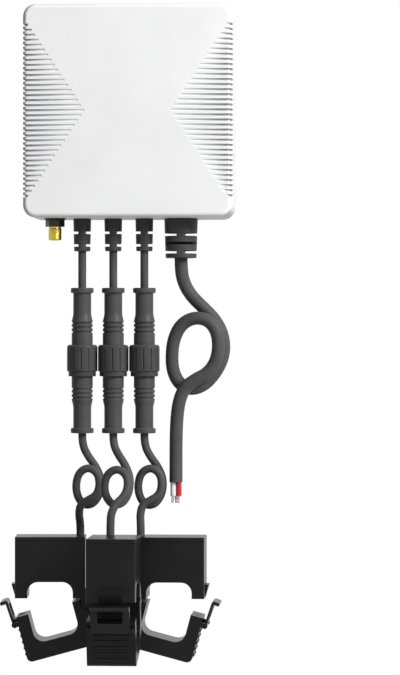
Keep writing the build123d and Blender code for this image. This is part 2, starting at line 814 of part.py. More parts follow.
def cord_tube(name, points, radius):
    """A tube along straight runs joined by tangent arcs, each as large as its runs allow."""
    radii = []
    for before, corner, after in zip(points, points[1:], points[2:]):
        shorter = min((Vector(*corner) - Vector(*before)).length, (Vector(*after) - Vector(*corner)).length)
        radii.append(run_share * shorter / math.tan(math.radians(corner_turn(before, corner, after) / 2)))
    path = FilletPolyline(*points, radius=radii)
    start = Vector(*points[1]) - Vector(*points[0])
    tube = sweep(Plane(origin=points[0], z_dir=start) * Circle(radius), path=path)
    expected = math.pi * radius ** 2 * path.length
    print(name, "radii", [round(value, 1) for value in radii])
    print(name, "length", round(path.length, 1), "volume share", round(tube.volume / expected, 4),
          "least gap", round(self_gap(path, radius), 2))
    return tube


def self_gap(path, radius):
    """The least gap of a tube to itself, measured on points along its middle line."""
    step = radius / 2
    count = int(path.length / step)
    line = [path @ (number / count) for number in range(count + 1)]
    skip = int(math.pi * 2 * radius / step)
    nearest = min(
        (line[first] - line[second]).length
        for first in range(len(line)) for second in range(first + skip, len(line))
    )
    return nearest - 2 * radius


def route_from(start, offsets):
    """A route's points from its start and its (to the right, forward, up) offsets."""
    x, y, z = start
    return [start] + [(x + right, y - forward, z + up) for right, forward, up in offsets]


def reaching(points, end):
    """The route drawn gradually over to this end, with its first and last runs kept in their direction."""
    missing = Vector(*end) - Vector(*points[-1])
    moved = []
    for number, point in enumerate(points):
        end_share = min(max((number - 1) / (len(points) - 3), 0), 1)
        moved.append(tuple(Vector(*point) + missing * end_share))
    return moved


def clamp_place(side):
    """Where a clamp's parting line lies, and how the clamp is turned about Z."""
    places = {
        "left": (left_clamp_shift, side_clamp_depth, side_clamp_drop, left_clamp_turn),
        "middle": (middle_clamp_shift, middle_clamp_depth, middle_clamp_drop, middle_clamp_turn),
        "right": (right_clamp_shift, side_clamp_depth, side_clamp_drop, right_clamp_turn),
    }
    shift, depth, drop, turn = places[side]
    return Pos(lead_x[side] + shift, -depth, connector_bottom - drop - clamp_body_height) * Rot(Z=turn)


def sensor_route(side):
    """The points of one sensor cord, from its plug shell down to where it goes into its clamp's lid."""
    tails = {"left": left_cord_tail, "right": right_cord_tail}
    offsets = middle_cord if side == "middle" else sensor_loop + tails[side]
    entry = (clamp_place(side) * Pos(cord_x, cord_side_shift, clamp_body_height)).position
    return reaching(route_from((lead_x[side], lead_y, connector_bottom), offsets), tuple(entry))


half_clamp = clamp_width / 2
half_thick = clamp_thickness / 2
half_window = window_width / 2
hinge_x = half_clamp + hinge_out
core_outer = half_clamp - clamp_wall
cord_x = half_clamp - cord_inset
latch_x = -(half_clamp + latch_standoff + latch_thickness / 2)
ear_inner = knuckle_half + side_gap


def window_cutter(low, high, round_edges_at):
    """The rounded opening that the conductor passes through."""
    cutter = block((-half_window, half_window), (-half_thick - overrun, half_thick + overrun), (low, high))
    edges = cutter.edges().filter_by(Axis.Y).group_by(Axis.Z)[round_edges_at]
    return fillet(edges, window_corner)


def u_core(bar_low, bar_high, leg_end):
    """Half of the ring core: a bar and two legs up to the parting line."""
    half_core = core_width / 2
    bar = block((-core_outer, core_outer), (-half_core, half_core), (bar_low, bar_high))
    for side in (-1, 1):
        span = sorted((side * core_outer, side * (core_outer - core_thickness)))
        low, high = sorted((leg_end, bar_low if leg_end < bar_low else bar_high))
        bar += block(span, (-half_core, half_core), (low, high))
    return bar


def upper_core():
    """The core half in the clamp's body."""
    return u_core(core_bar_height, core_bar_height + core_thickness, 0)


def lower_core():
    """The core half in the jaw."""
    top = -window_jaw_depth - clamp_wall
    return u_core(top - core_thickness, top, -parting_gap)


def coil():
    """The winding round the upper core's bar."""
    half_core = core_width / 2
    low = core_bar_height - coil_wall
    high = core_bar_height + core_thickness + coil_wall
    half_width = half_core + coil_wall
    winding = block((-coil_length / 2, coil_length / 2), (-half_width, half_width), (low, high))
    winding = fillet(winding.edges().filter_by(Axis.X), coil_round)
    core_top = core_bar_height + core_thickness
    return winding - block((-coil_length, coil_length), (-half_core, half_core), (core_bar_height, core_top))


def clamp_body():
    """The fixed half of the clamp, hollow for core and coil, with hinge ears and the catch wedge."""
    body = block((-half_clamp, half_clamp), (-half_thick, half_thick), (0, clamp_body_height - lid_height))
    body = fillet(body.edges().filter_by(Axis.Z), clamp_edge)
    body -= window_cutter(-overrun, window_body_height, -1)
    inner_x = core_outer
    inner_y = half_thick - clamp_wall
    body -= block(
        (-inner_x, inner_x), (-inner_y, inner_y), (window_body_height + clamp_wall, clamp_body_height)
    )
    body -= u_core(core_bar_height, core_bar_height + core_thickness, -overrun)
    body -= cross_pin(knuckle_radius + side_gap, -ear_inner, ear_inner, hinge_x, -hinge_drop)
    gusset = [
        (hinge_x - knuckle_radius, -hinge_drop), (hinge_x - knuckle_radius, overrun),
        (half_clamp, gusset_height), (hinge_x + knuckle_radius, -hinge_drop),
    ]
    for low, high in ((-half_thick, -ear_inner), (ear_inner, half_thick)):
        body += cross_pin(knuckle_radius, low, high, hinge_x, -hinge_drop)
        body += prism(gusset, low, high)
    body -= cross_pin(pin_radius, -half_thick - overrun, half_thick + overrun, hinge_x, -hinge_drop)
    wedge = [(-half_clamp + overrun, 0), (-half_clamp, 0), (-half_clamp - wedge_reach, wedge_height),
             (-half_clamp + overrun, wedge_height)]
    return body + prism(wedge, -wedge_width / 2, wedge_width / 2)


def clamp_lid():
    """The flat lid of the body, which the cord goes into near its hinge end."""
    low = clamp_body_height - lid_height
    lid = block((-half_clamp, half_clamp), (-half_thick, half_thick), (low, clamp_body_height))
    return fillet(lid.edges().filter_by(Axis.Z), clamp_edge)


def clamp_pin():
    """The hinge pin, fixed in the body's ears."""
    return cross_pin(pin_radius, -half_thick, half_thick, hinge_x, -hinge_drop)


def clamp_jaw():
    """The swinging half with its knuckle, latch lugs and grip ridges."""
    jaw = block((-half_clamp, half_clamp), (-half_thick, half_thick), (-clamp_jaw_height, -parting_gap))
    bottom = jaw.edges().filter_by(Axis.Y).group_by(Axis.Z)[0].sort_by(Axis.X)
    jaw = fillet(bottom[-1], jaw_heel_radius)
    jaw = fillet(jaw.edges().filter_by(Axis.Y).group_by(Axis.Z)[0].sort_by(Axis.X)[0], jaw_toe_radius)
    jaw -= window_cutter(-window_jaw_depth, overrun, 0)
    jaw -= lower_core()
    clear = knuckle_radius + side_gap + parting_gap
    for low, high in ((-half_thick - overrun, -knuckle_half), (knuckle_half, half_thick + overrun)):
        jaw -= cross_pin(clear, low, high, hinge_x, -hinge_drop)
        jaw -= block((hinge_x - clear, hinge_x + clear), (low, high), (-hinge_drop, overrun))
    gusset = [
        (hinge_x + knuckle_radius, -hinge_drop), (half_clamp, -hinge_drop - jaw_gusset_drop),
        (core_outer, -hinge_drop - jaw_gusset_drop), (core_outer, -hinge_drop),
    ]
    jaw += cross_pin(knuckle_radius, -knuckle_half, knuckle_half, hinge_x, -hinge_drop)
    jaw += prism(gusset, -knuckle_half, knuckle_half)
    jaw -= lower_core()
    jaw -= cross_pin(pin_radius + running_gap, -half_thick, half_thick, hinge_x, -hinge_drop)
    lug_inner = latch_width / 2 + side_gap
    for side in (-1, 1):
        low, high = sorted((side * lug_inner, side * (lug_inner + lug_thickness)))
        lug = cross_pin(lug_radius, low, high, latch_x, -latch_pivot_drop)
        lug += block(
            (latch_x, -half_clamp + clamp_wall / 2), (low, high),
            (-latch_pivot_drop - lug_radius, -latch_pivot_drop + lug_radius),
        )
        jaw += lug - cross_pin(trunnion_radius + running_gap, low - overrun, high + overrun,
                               latch_x, -latch_pivot_drop)
    for number in range(grip_ridges):
        top = -grip_first_drop - number * grip_pitch
        jaw += block((-half_clamp - grip_proud, -half_clamp + clamp_wall / 2),
                     (-grip_width / 2, grip_width / 2), (top - grip_height, top))
    return jaw


def clamp_latch():
    """The rocking latch frame in its caught place: a window for the wedge and a rounded pull hook on top."""
    outer = latch_x - latch_thickness / 2
    inner = latch_x + latch_thickness / 2
    half = latch_width / 2
    frame = block((outer, inner), (-half, half), (-latch_pivot_drop - latch_tail, latch_top))
    hook_bottom = latch_top - latch_hook_height
    frame += block((outer - latch_hook_reach, inner), (-half, half), (hook_bottom, latch_top))
    long_edges = frame.edges().filter_by(Axis.Y)
    frame = fillet(long_edges.group_by(Axis.Z)[-1].sort_by(Axis.X)[-1], latch_bend_radius)
    frame = fillet(frame.edges().filter_by(Axis.Y).sort_by(Axis.X)[:2], latch_hook_round)
    frame = fillet(frame.edges().filter_by(Axis.Y).group_by(Axis.Z)[0], latch_tail_round)
    half_window_y = latch_window_width / 2
    frame -= block((outer - overrun, inner + overrun), (-half_window_y, half_window_y),
                   (latch_window_bottom - side_gap, wedge_height + side_gap))
    reach = half + side_gap + lug_thickness
    return frame + cross_pin(trunnion_radius, -reach, reach, latch_x, -latch_pivot_drop)


def swing(shape, x, z, angle):
    """Turns a closed clamp's piece about a pin, opening for a positive angle."""
    return Pos(x, 0, z) * Rot(Y=-angle) * Pos(-x, 0, -z) * shape


def opened(shape):
    """A jaw piece at rest."""
    return swing(shape, hinge_x, -hinge_drop, jaw_open_angle)


def make_wire(name, low, high, radius):
    """A round wire at its place in the supply cable's end."""
    angle = math.radians(wire_angles[name])
    x = power_x + power_route[-1][0] + wire_circle * math.cos(angle)
    return post(radius, low, high, x, lead_y + wire_circle * math.sin(angle))


def make_clamps():
    """All three clamps, each piece at its place."""
    shared = {"clamp_lids": [], "upper_cores": [], "clamp_coils": [], "hinge_pins": []}
    for side in sides:
        place = clamp_place(side)
        shared["clamp_lids"].append(place * clamp_lid())
        shared["upper_cores"].append(place * upper_core())
        shared["clamp_coils"].append(place * coil())
        shared["hinge_pins"].append(place * clamp_pin())
        parts[side + "_clamp_body"] = place * clamp_body()
        parts[side + "_jaw"] = place * opened(clamp_jaw())
        parts[side + "_lower_core"] = place * opened(lower_core())
        latch = swing(clamp_latch(), latch_x, -latch_pivot_drop, latch_rest_angle)
        parts[side + "_latch"] = place * opened(latch)
    for name, shapes in shared.items():
        parts[name] = group(shapes)


def make_case():
    """The case, its fasteners and everything inside it."""
    parts["front_cover"] = make_front_cover()
    parts["rear_cover"] = make_rear_cover()
    parts["cover_seal"] = make_cover_seal()
    parts["cover_screws"] = make_cover_screws()
    parts["main_board"] = make_main_board()
    parts["board_screws"] = make_board_screws()
    parts["power_module"] = make_power_module()
    parts["filter_capacitors"] = make_capacitors()
    parts["metering_chip"] = make_metering_chip()
    parts["radio_module"] = make_radio_module()
    parts["terminal_blocks"] = make_terminal_blocks()
    parts["antenna_jack"] = make_antenna_jack()
    parts["antenna_insulator"] = make_antenna_insulator()
    parts["antenna_washer"] = make_antenna_washer()
    parts["antenna_nut"] = make_antenna_nut()
    parts["antenna_pigtail"] = make_antenna_pigtail()


def make_leads():
    """The glands, leads, connectors and sensor cords."""
    for side in sides:
        x = lead_x[side]
        gland, gland_end = make_gland(x, gland_radius, gland_end_radius, gland_neck_radius, gland_blocks,
                                      gland_web, lead_core_radius, 0)
        parts[side + "_gland"] = gland
        parts[side + "_lead"] = make_lead(x, gland_end)
        parts[side + "_socket_shell"] = make_socket_shell(x)
        parts[side + "_coupling_nut"] = make_coupling_nut(x)
        parts[side + "_plug_shell"] = make_plug_shell(x)
        parts[side + "_clamp_cord"] = cord_tube(side + "_clamp_cord", sensor_route(side), lead_radius)
    parts["connector_seals"] = make_connector_seals()
    parts["socket_contacts"] = make_socket_contacts()
    parts["plug_contacts"] = make_plug_contacts()


def make_supply():
    """The supply cable with its gland, wires and bare ends."""
    gland, gland_end = make_gland(power_x, power_gland_radius, power_gland_end_radius, power_neck_radius,
                                  power_blocks, power_web, power_core_radius, power_front_slot)
    parts["power_gland"] = gland
    parts["power_inner_wires"] = post(power_core_radius, gland_end, wire_top, power_x, lead_y)
    route = route_from((power_x, lead_y, gland_end), power_route)
    parts["power_cord"] = cord_tube("power_cord", route, power_radius)
    jacket_end = route[-1][2]
    wire_end = jacket_end - wire_length
    for name in wire_angles:
        parts[name] = make_wire(name, wire_end, jacket_end, wire_radius)
    parts["bare_strands"] = group([
        make_wire(name, wire_end - strand_length, wire_end, strand_radius) for name in wire_angles
    ])


def write_parts():
    """One STEP file for each piece."""
    os.makedirs("parts", exist_ok=True)
    for name, shape in parts.items():
        export_step(shape, os.path.join("parts", name + ".step"))
    print(len(parts), "nodes written")


make_case()
make_leads()
make_supply()
make_clamps()
write_parts()
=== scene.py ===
# %% [markdown]
# # A wall-hung energy meter with three clamp-on sensors
#
# The real object is a white plastic case that hangs on a wall. An antenna jack and four rubber glands come
# out of its floor. Three thin leads run through round screw-together connectors to three black clamps, which
# close round the wires of a house. A thicker supply cable ends in three bare wires.
#
# The fixed frame is loaded first. It holds each piece at its real size, with the bodies that move. Each
# visible piece is then modelled again with softer edges and finer detail, in the same place.

# %% Load the frame
import math
import json

import bmesh
import bpy
from mathutils import Matrix, Vector


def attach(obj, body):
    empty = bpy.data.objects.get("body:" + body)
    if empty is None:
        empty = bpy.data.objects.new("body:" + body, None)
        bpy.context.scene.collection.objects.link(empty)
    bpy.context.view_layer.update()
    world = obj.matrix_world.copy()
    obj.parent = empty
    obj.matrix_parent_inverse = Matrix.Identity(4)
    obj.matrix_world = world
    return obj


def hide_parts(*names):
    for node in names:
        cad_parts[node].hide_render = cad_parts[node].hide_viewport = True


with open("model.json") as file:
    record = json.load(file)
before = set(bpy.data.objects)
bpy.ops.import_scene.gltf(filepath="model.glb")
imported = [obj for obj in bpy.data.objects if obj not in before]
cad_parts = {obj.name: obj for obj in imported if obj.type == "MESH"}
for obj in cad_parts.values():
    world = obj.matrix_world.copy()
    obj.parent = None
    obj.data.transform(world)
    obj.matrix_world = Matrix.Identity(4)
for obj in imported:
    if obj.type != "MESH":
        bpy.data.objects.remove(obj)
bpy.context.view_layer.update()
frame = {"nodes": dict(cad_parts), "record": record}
MM = 0.001
SIDES = ("left", "middle", "right")
print("nodes in the frame:", len(frame["nodes"]))

# %% [markdown]
# ## The camera
#
# The picture was taken from a little over a metre away with a long lens, from the right of the object and
# from below its case. The right side of the case and of the clamps shows as a narrow strip. The camera is
# turned a little to the left instead of shifted, so that it keeps its aim in every other view.

# %% The camera
CAMERA_PLACE = Vector((117.6, -1441.0, -107.15)) * MM
CAMERA_AIM = Vector((33.0, -17.0, -106.0)) * MM
LENS_MM = 161.6
SENSOR_MM = 36.0

bpy.ops.object.camera_add(location=CAMERA_PLACE)
camera = bpy.context.object
camera.rotation_euler = (CAMERA_AIM - CAMERA_PLACE).to_track_quat("-Z", "Y").to_euler()
camera.data.lens = LENS_MM
camera.data.sensor_width = SENSOR_MM
camera.data.clip_end = 20.0
bpy.context.scene.camera = camera
print("camera stands", round((CAMERA_AIM - CAMERA_PLACE).length, 3), "m from its aim")

# %% [markdown]
# ## Materials in general
#
# No moulded or plated surface is one flat colour. Each finish here mixes two near colours by a noise, and
# lets a second, finer noise vary the gloss and raise a small bump. The noises read Object coordinates, so the
# grain has a real size on every piece.

# %% A helper for finishes


def make_finish(name, dark, light, roughness, patch_mm, grain_mm, bump_mm, metallic=0.0, specular=0.5):
    """A finish whose colour drifts over patches and whose gloss and bump follow a fine grain."""
    material = bpy.data.materials.new(name)
    material.use_nodes = True
    nodes, links = material.node_tree.nodes, material.node_tree.links
    shader = nodes["Principled BSDF"]
    shader.inputs["Metallic"].default_value = metallic
    shader.inputs["Specular IOR Level"].default_value = specular
    place = nodes.new("ShaderNodeTexCoord")

    patches = nodes.new("ShaderNodeTexNoise")
    patches.inputs["Scale"].default_value = 1.0 / (patch_mm * MM)
    patches.inputs["Detail"].default_value = 3.0
    links.new(place.outputs["Object"], patches.inputs["Vector"])
    colours = nodes.new("ShaderNodeValToRGB")
    colours.color_ramp.elements[0].position = 0.3
    colours.color_ramp.elements[0].color = (*dark, 1.0)
    colours.color_ramp.elements[1].position = 0.7
    colours.color_ramp.elements[1].color = (*light, 1.0)
    links.new(patches.outputs["Fac"], colours.inputs["Fac"])
    links.new(colours.outputs["Color"], shader.inputs["Base Color"])

    grain = nodes.new("ShaderNodeTexNoise")
    grain.inputs["Scale"].default_value = 1.0 / (grain_mm * MM)
    grain.inputs["Detail"].default_value = 2.0
    links.new(place.outputs["Object"], grain.inputs["Vector"])
    gloss = nodes.new("ShaderNodeMapRange")
    gloss.inputs["To Min"].default_value = roughness[0]
    gloss.inputs["To Max"].default_value = roughness[1]
    links.new(grain.outputs["Fac"], gloss.inputs["Value"])
    links.new(gloss.outputs["Result"], shader.inputs["Roughness"])
    bump = nodes.new("ShaderNodeBump")
    bump.inputs["Strength"].default_value = 0.6
    bump.inputs["Distance"].default_value = bump_mm * MM
    links.new(grain.outputs["Fac"], bump.inputs["Height"])
    links.new(bump.outputs["Normal"], shader.inputs["Normal"])
    return material


# %% [markdown]
# ## Cable jackets
#
# A jacket is extruded, so it is smooth with faint lines along its length and a soft sheen. The same finish
# serves the sensor cords, the supply cable and the short leads.

# %% Jacket finishes
JACKET = make_finish(
    "jacket_grey", (0.064, 0.064, 0.065), (0.078, 0.078, 0.080), (0.42, 0.54), 9.0, 0.6, 0.02, specular=0.08
)
print("jacket finish made:", JACKET.name)

# %% [markdown]
# ## The three sensor cords
#
# Each cord leaves the plug half of its connector, makes one loop and goes into the top of its clamp. It could
# be a mesh tube, but a curve with a round bevel keeps its real length and stays smooth. The points are the
# control points of one spline, so the line passes inside the corners of the route. The first pass of the loop
# lies behind the second one.

# %% The cord routes
LEAD_X = {"left": -22.67, "middle": -7.97, "right": 6.73}
LEAD_Y = -17.0
CONNECTOR_BOTTOM = -151.1
CORD_RADIUS = 1.9
SIDE_LOOP = (
    (0.0, 0.0, -5.3), (2.5, -0.9, -10.7), (6.2, -2.0, -15.7), (8.7, -2.4, -21.5),
    (8.4, -2.4, -28.1), (5.2, -2.4, -33.5), (0.6, -2.4, -34.3), (-2.5, -2.0, -30.1),
    (-3.2, -1.0, -24.3), (-1.5, 0.6, -18.5), (3.2, 1.9, -15.9), (7.6, 2.5, -18.7),
    (8.6, 2.5, -24.1), (7.2, 2.5, -29.1), (2.8, 2.5, -31.6), (-0.7, 2.4, -33.7),
)
LEFT_TAIL = ((-1.6, 0.1, -38.1), (-1.2, -3.6, -43.0), (-1.2, -3.6, -48.4))
RIGHT_TAIL = ((-1.8, 2.6, -38.1), (-1.5, 2.6, -42.6), (-1.5, 2.6, -48.4))
MIDDLE_ROUTE = (
    (0.0, 0.0, -5.1), (2.4, 1.8, -9.9), (6.0, 4.2, -14.7), (8.5, 6.4, -20.5),
    (8.4, 8.4, -26.9), (5.6, 10.0, -32.5), (0.9, 11.6, -33.5), (-2.3, 13.0, -29.5),
    (-3.1, 14.2, -23.9), (-1.3, 15.4, -18.3), (3.4, 16.6, -15.9), (7.8, 17.8, -18.7),
    (8.7, 19.4, -23.9), (7.2, 21.2, -28.5), (3.4, 23.0, -31.9), (1.2, 24.6, -36.1),
    (0.9, 25.1, -40.8), (0.9, 25.1, -46.4),
)
SENSOR_ROUTES = {"left": SIDE_LOOP + LEFT_TAIL, "middle": MIDDLE_ROUTE, "right": SIDE_LOOP + RIGHT_TAIL}


def cord_curve(name, points_mm, radius_mm, material):
    """A round cord along one NURBS spline whose control points are the route's points."""
    data = bpy.data.curves.new(name, "CURVE")
    data.dimensions = "3D"
    spline = data.splines.new("NURBS")
    spline.points.add(len(points_mm) - 1)
    for point, place in zip(spline.points, points_mm):
        point.co = (*(Vector(place) * MM), 1.0)
    spline.order_u = 3
    spline.use_endpoint_u = True
    spline.resolution_u = 12
    data.bevel_depth = radius_mm * MM
    data.bevel_resolution = 6
    data.use_fill_caps = True
    data.materials.append(material)
    cord = bpy.data.objects.new(name, data)
    bpy.context.scene.collection.objects.link(cord)
    return cord


def spline_length(curve):
    """The real length of a curve's line, in metres."""
    return curve.data.splines[0].calc_length()


for side in SIDES:
    start = (LEAD_X[side], LEAD_Y, CONNECTOR_BOTTOM)
    route = [start] + [
        (LEAD_X[side] + right, LEAD_Y - forward, CONNECTOR_BOTTOM + up)
        for right, forward, up in SENSOR_ROUTES[side]
    ]
    cord = cord_curve(side + "_sensor_cord", route, CORD_RADIUS, JACKET)
    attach(cord, "root")
    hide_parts(side + "_clamp_cord")

# %% [markdown]
# ## The supply cable
#
# The thicker cable leaves the large gland, swings to the right, makes one round loop and hangs straight down
# to its stripped end. It is stiffer than the sensor cords, so its loop is wider.

# %% The supply cable's route
POWER_X = 24.07
POWER_TOP = -68.6
POWER_RADIUS = 3.1
POWER_ROUTE = (
    (0.0, 0.0, -6.3), (1.6, -0.9, -12.6), (4.9, -1.9, -18.0), (9.5, -2.8, -22.6),
    (14.7, -3.5, -27.6), (18.8, -3.7, -34.0), (20.3, -3.7, -41.6), (19.0, -3.7, -48.6),
    (15.2, -3.7, -55.2), (10.2, -3.7, -60.2), (4.1, -3.6, -62.0), (-1.2, -3.2, -59.2),
    (-4.1, -2.2, -53.2), (-4.5, -1.0, -45.8), (-3.5, 0.4, -38.2), (-0.1, 1.8, -31.4),
    (5.9, 3.0, -28.0), (12.5, 3.6, -28.8), (16.9, 3.8, -33.8), (18.1, 3.8, -41.0),
    (16.9, 3.8, -48.4), (12.9, 3.8, -54.2), (7.1, 3.8, -57.0), (2.0, 3.6, -60.8),
    (-0.6, 3.0, -66.6), (-1.8, 1.8, -74.0), (-2.3, 0.7, -83.6), (-2.4, 0.0, -94.0),
    (-2.4, 0.0, -105.5),
)
power_start = (POWER_X, LEAD_Y, POWER_TOP)
power_points = [power_start] + [
    (POWER_X + right, LEAD_Y - forward, POWER_TOP + up) for right, forward, up in POWER_ROUTE
]
power_cord = cord_curve("supply_cable", power_points, POWER_RADIUS, JACKET)
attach(power_cord, "root")
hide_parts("power_cord")
print("supply cable is", round(spline_length(power_cord) * 1000, 1), "mm long")

# %% [markdown]
# ## Helpers for modelling
#
# Most operators act on everything that is selected. So each helper first deselects everything and then takes
# one object. Faces and edges are picked by their place or direction, as one would pick them by eye.

# %% Selecting and finishing


def take(*objects):
    """Makes these objects the only selected ones, the first of them active."""
    bpy.ops.object.select_all(action="DESELECT")
    for thing in objects:
        thing.select_set(True)
    bpy.context.view_layer.objects.active = objects[0]


def add_block(name, low, high):
    """A block between two corners, in millimetres."""
    low, high = Vector(low) * MM, Vector(high) * MM
    bpy.ops.object.select_all(action="DESELECT")
    bpy.ops.mesh.primitive_cube_add(size=1.0, location=(low + high) / 2, scale=high - low)
    piece = bpy.context.object
    piece.name = name
    bpy.ops.object.transform_apply(location=True, rotation=True, scale=True)
    return piece


def add_rod(name, start, end, radius, sides=32, end_radius=None):
    """A round bar or cone between two points, in millimetres."""
    start, end = Vector(start) * MM, Vector(end) * MM
    along = end - start
    bpy.ops.object.select_all(action="DESELECT")
    bpy.ops.mesh.primitive_cone_add(
        vertices=sides, radius1=radius * MM, radius2=(radius if end_radius is None else end_radius) * MM,
        depth=along.length, location=(start + end) / 2, rotation=along.to_track_quat("Z", "Y").to_euler(),
    )
    piece = bpy.context.object
    piece.name = name
    bpy.ops.object.transform_apply(location=True, rotation=True, scale=True)
    return piece


def pick_edges(piece, chosen):
    """Goes into edit mode with the edges selected for which chosen(middle, direction) is true, in mm."""
    take(piece)
    bpy.ops.object.mode_set(mode="EDIT")
    bpy.ops.mesh.select_mode(type="EDGE")
    bpy.ops.mesh.select_all(action="DESELECT")
    mesh = bmesh.from_edit_mesh(piece.data)
    for edge in mesh.edges:
        first, second = (vertex.co for vertex in edge.verts)
        edge.select_set(bool(chosen((first + second) / 2 / MM, (second - first).normalized())))
    mesh.select_flush(False)
    bmesh.update_edit_mesh(piece.data)


def pick_faces(piece, chosen):
    """Goes into edit mode with the faces selected for which chosen(middle, normal) is true, in mm."""
    take(piece)
    bpy.ops.object.mode_set(mode="EDIT")
    bpy.ops.mesh.select_mode(type="FACE")
    bpy.ops.mesh.select_all(action="DESELECT")
    mesh = bmesh.from_edit_mesh(piece.data)
    for face in mesh.faces:
        face.select_set(bool(chosen(face.calc_center_median() / MM, face.normal)))
    bmesh.update_edit_mesh(piece.data)


def leave_edit():
    """Back to object mode."""
    bpy.ops.object.mode_set(mode="OBJECT")


def round_edges(piece, chosen, radius, segments):
    """Bevels the chosen edges to a round of this radius."""
    pick_edges(piece, chosen)
    bpy.ops.mesh.bevel(offset=radius * MM, offset_type="OFFSET", segments=segments, affect="EDGES")
    leave_edit()


def join_all(name, pieces):
    """One object from several."""
    take(*pieces)
    if len(pieces) > 1:
        bpy.ops.object.join()
    joined = bpy.context.object
    joined.name = name
    return joined


def carve(piece, *cutters, operation="DIFFERENCE"):
    """Cuts each cutter out of the piece, or adds it, and removes the cutter."""
    for cutter in cutters:
        change = piece.modifiers.new("carve", "BOOLEAN")
        change.object = cutter
        change.operation = operation
        change.solver = "EXACT"
        take(piece)
        bpy.ops.object.modifier_apply(modifier=change.name)
        bpy.data.objects.remove(cutter)


def merge_flats(piece):
    """Joins faces that lie in one plane, so that no stray edge crosses a flat."""
    take(piece)
    bpy.ops.object.mode_set(mode="EDIT")
    bpy.ops.mesh.select_all(action="SELECT")
    bpy.ops.mesh.dissolve_limited(angle_limit=math.radians(0.3))
    leave_edit()


def soften(piece, width, segments=2, angle=30.0, clamp=True):
    """Rounds every sharp edge a little, as a mould does."""
    change = piece.modifiers.new("soften", "BEVEL")
    change.width = width * MM
    change.segments = segments
    change.limit_method = "ANGLE"
    change.angle_limit = math.radians(angle)
    change.use_clamp_overlap = clamp
    change.miter_outer = "MITER_ARC" if clamp else "MITER_SHARP"
    take(piece)
    bpy.ops.object.modifier_apply(modifier=change.name)


def lathe(name, x, y, profile, sides=48, ring=False):
    """A turned piece: a circle is drawn out along Z and resized at each (radius, height) of its profile."""
    centre = (x * MM, y * MM, 0.0)
    radius, height = profile[0]
    bpy.ops.object.select_all(action="DESELECT")
    bpy.ops.mesh.primitive_circle_add(
        vertices=sides, radius=radius * MM, location=(x * MM, y * MM, height * MM)
    )
    piece = bpy.context.object
    piece.name = name
    bpy.ops.object.transform_apply(location=True, rotation=True, scale=True)
    bpy.ops.object.mode_set(mode="EDIT")
    bpy.ops.mesh.select_mode(type="EDGE")
    bpy.ops.mesh.select_all(action="SELECT")
    for next_radius, next_height in profile[1:]:
        rise = (0.0, 0.0, (next_height - height) * MM)
        bpy.ops.mesh.extrude_region_move(TRANSFORM_OT_translate={"value": rise})
        share = next_radius / radius
        bpy.ops.transform.resize(value=(share, share, 1.0), center_override=centre)
        radius, height = next_radius, next_height
    bpy.ops.mesh.select_all(action="SELECT")
    if ring:
        bpy.ops.mesh.remove_doubles(threshold=0.001 * MM)
    else:
        bpy.ops.mesh.fill_holes(sides=0)
    bpy.ops.mesh.select_all(action="SELECT")
    bpy.ops.mesh.normals_make_consistent(inside=False)
    leave_edit()
    return piece


def dress(piece, material, body, nodes=(), smooth=35.0, flat_weight=50):
    """Gives a piece its finish, its smooth shading, its body and the nodes that it stands for."""
    piece.data.materials.clear()
    piece.data.materials.append(material)
    take(piece)
    bpy.ops.object.shade_smooth_by_angle(angle=math.radians(smooth))
    flat = piece.modifiers.new("keep_flats_flat", "WEIGHTED_NORMAL")
    flat.keep_sharp = True
    flat.weight = flat_weight
    bpy.ops.object.modifier_apply(modifier=flat.name)
    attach(piece, body)
    if nodes:
        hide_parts(*nodes)
    print(piece.name, "has", len(piece.data.polygons), "faces")
    return piece


def copy_of(piece, name, matrix):
    """Another piece with a mesh of its own, moved or turned by the matrix."""
    twin = bpy.data.objects.new(name, piece.data.copy())
    bpy.context.scene.collection.objects.link(twin)
    twin.data.transform(matrix)
    if matrix.determinant() < 0:
        twin.data.flip_normals()
    return twin


def shift(x=0.0, y=0.0, z=0.0):
    """A move in millimetres."""
    return Matrix.Translation(Vector((x, y, z)) * MM)


# %% [markdown]
# ## The front cover
#
# The deep front half of the case is one white moulding: a flat face with rounded corners and thirty-five
# grooves that fan out to each side. It is made from one block. The corners and the front edge are rounded,
# the back is inset and pushed in to make the wall, and a narrow tongue is drawn out of the rim.

# %% The front shell
CASE_HALF_WIDTH, CASE_HALF_HEIGHT = 49.0, 50.0
CASE_DEPTH, SEAM_DEPTH = 34.0, 17.0
CASE_CORNER, FRONT_ROUND, CASE_WALL = 6.0, 2.2, 2.5
TONGUE_INSET, TONGUE_HEIGHT = 0.65, 0.6

front_cover = add_block(
    "case_front", (-CASE_HALF_WIDTH, -CASE_DEPTH, -CASE_HALF_HEIGHT), (CASE_HALF_WIDTH, -SEAM_DEPTH, CASE_HALF_HEIGHT)
)
round_edges(front_cover, lambda middle, along: abs(along.y) > 0.9, CASE_CORNER, 8)
round_edges(front_cover, lambda middle, along: middle.y < -CASE_DEPTH + 0.01, FRONT_ROUND, 6)
pick_faces(front_cover, lambda middle, normal: normal.y > 0.9)
bpy.ops.mesh.inset(thickness=CASE_WALL * MM)
bpy.ops.mesh.extrude_region_move(
    TRANSFORM_OT_translate={"value": (0.0, -(CASE_DEPTH - SEAM_DEPTH - CASE_WALL) * MM, 0.0)}
)
leave_edit()
pick_faces(front_cover, lambda middle, normal: normal.y > 0.9 and middle.y > -SEAM_DEPTH - 0.01)
bpy.ops.mesh.inset(thickness=TONGUE_INSET * MM)
bpy.ops.mesh.extrude_region_move(TRANSFORM_OT_translate={"value": (0.0, TONGUE_HEIGHT * MM, 0.0)})
leave_edit()
print("front shell faces:", len(front_cover.data.polygons))

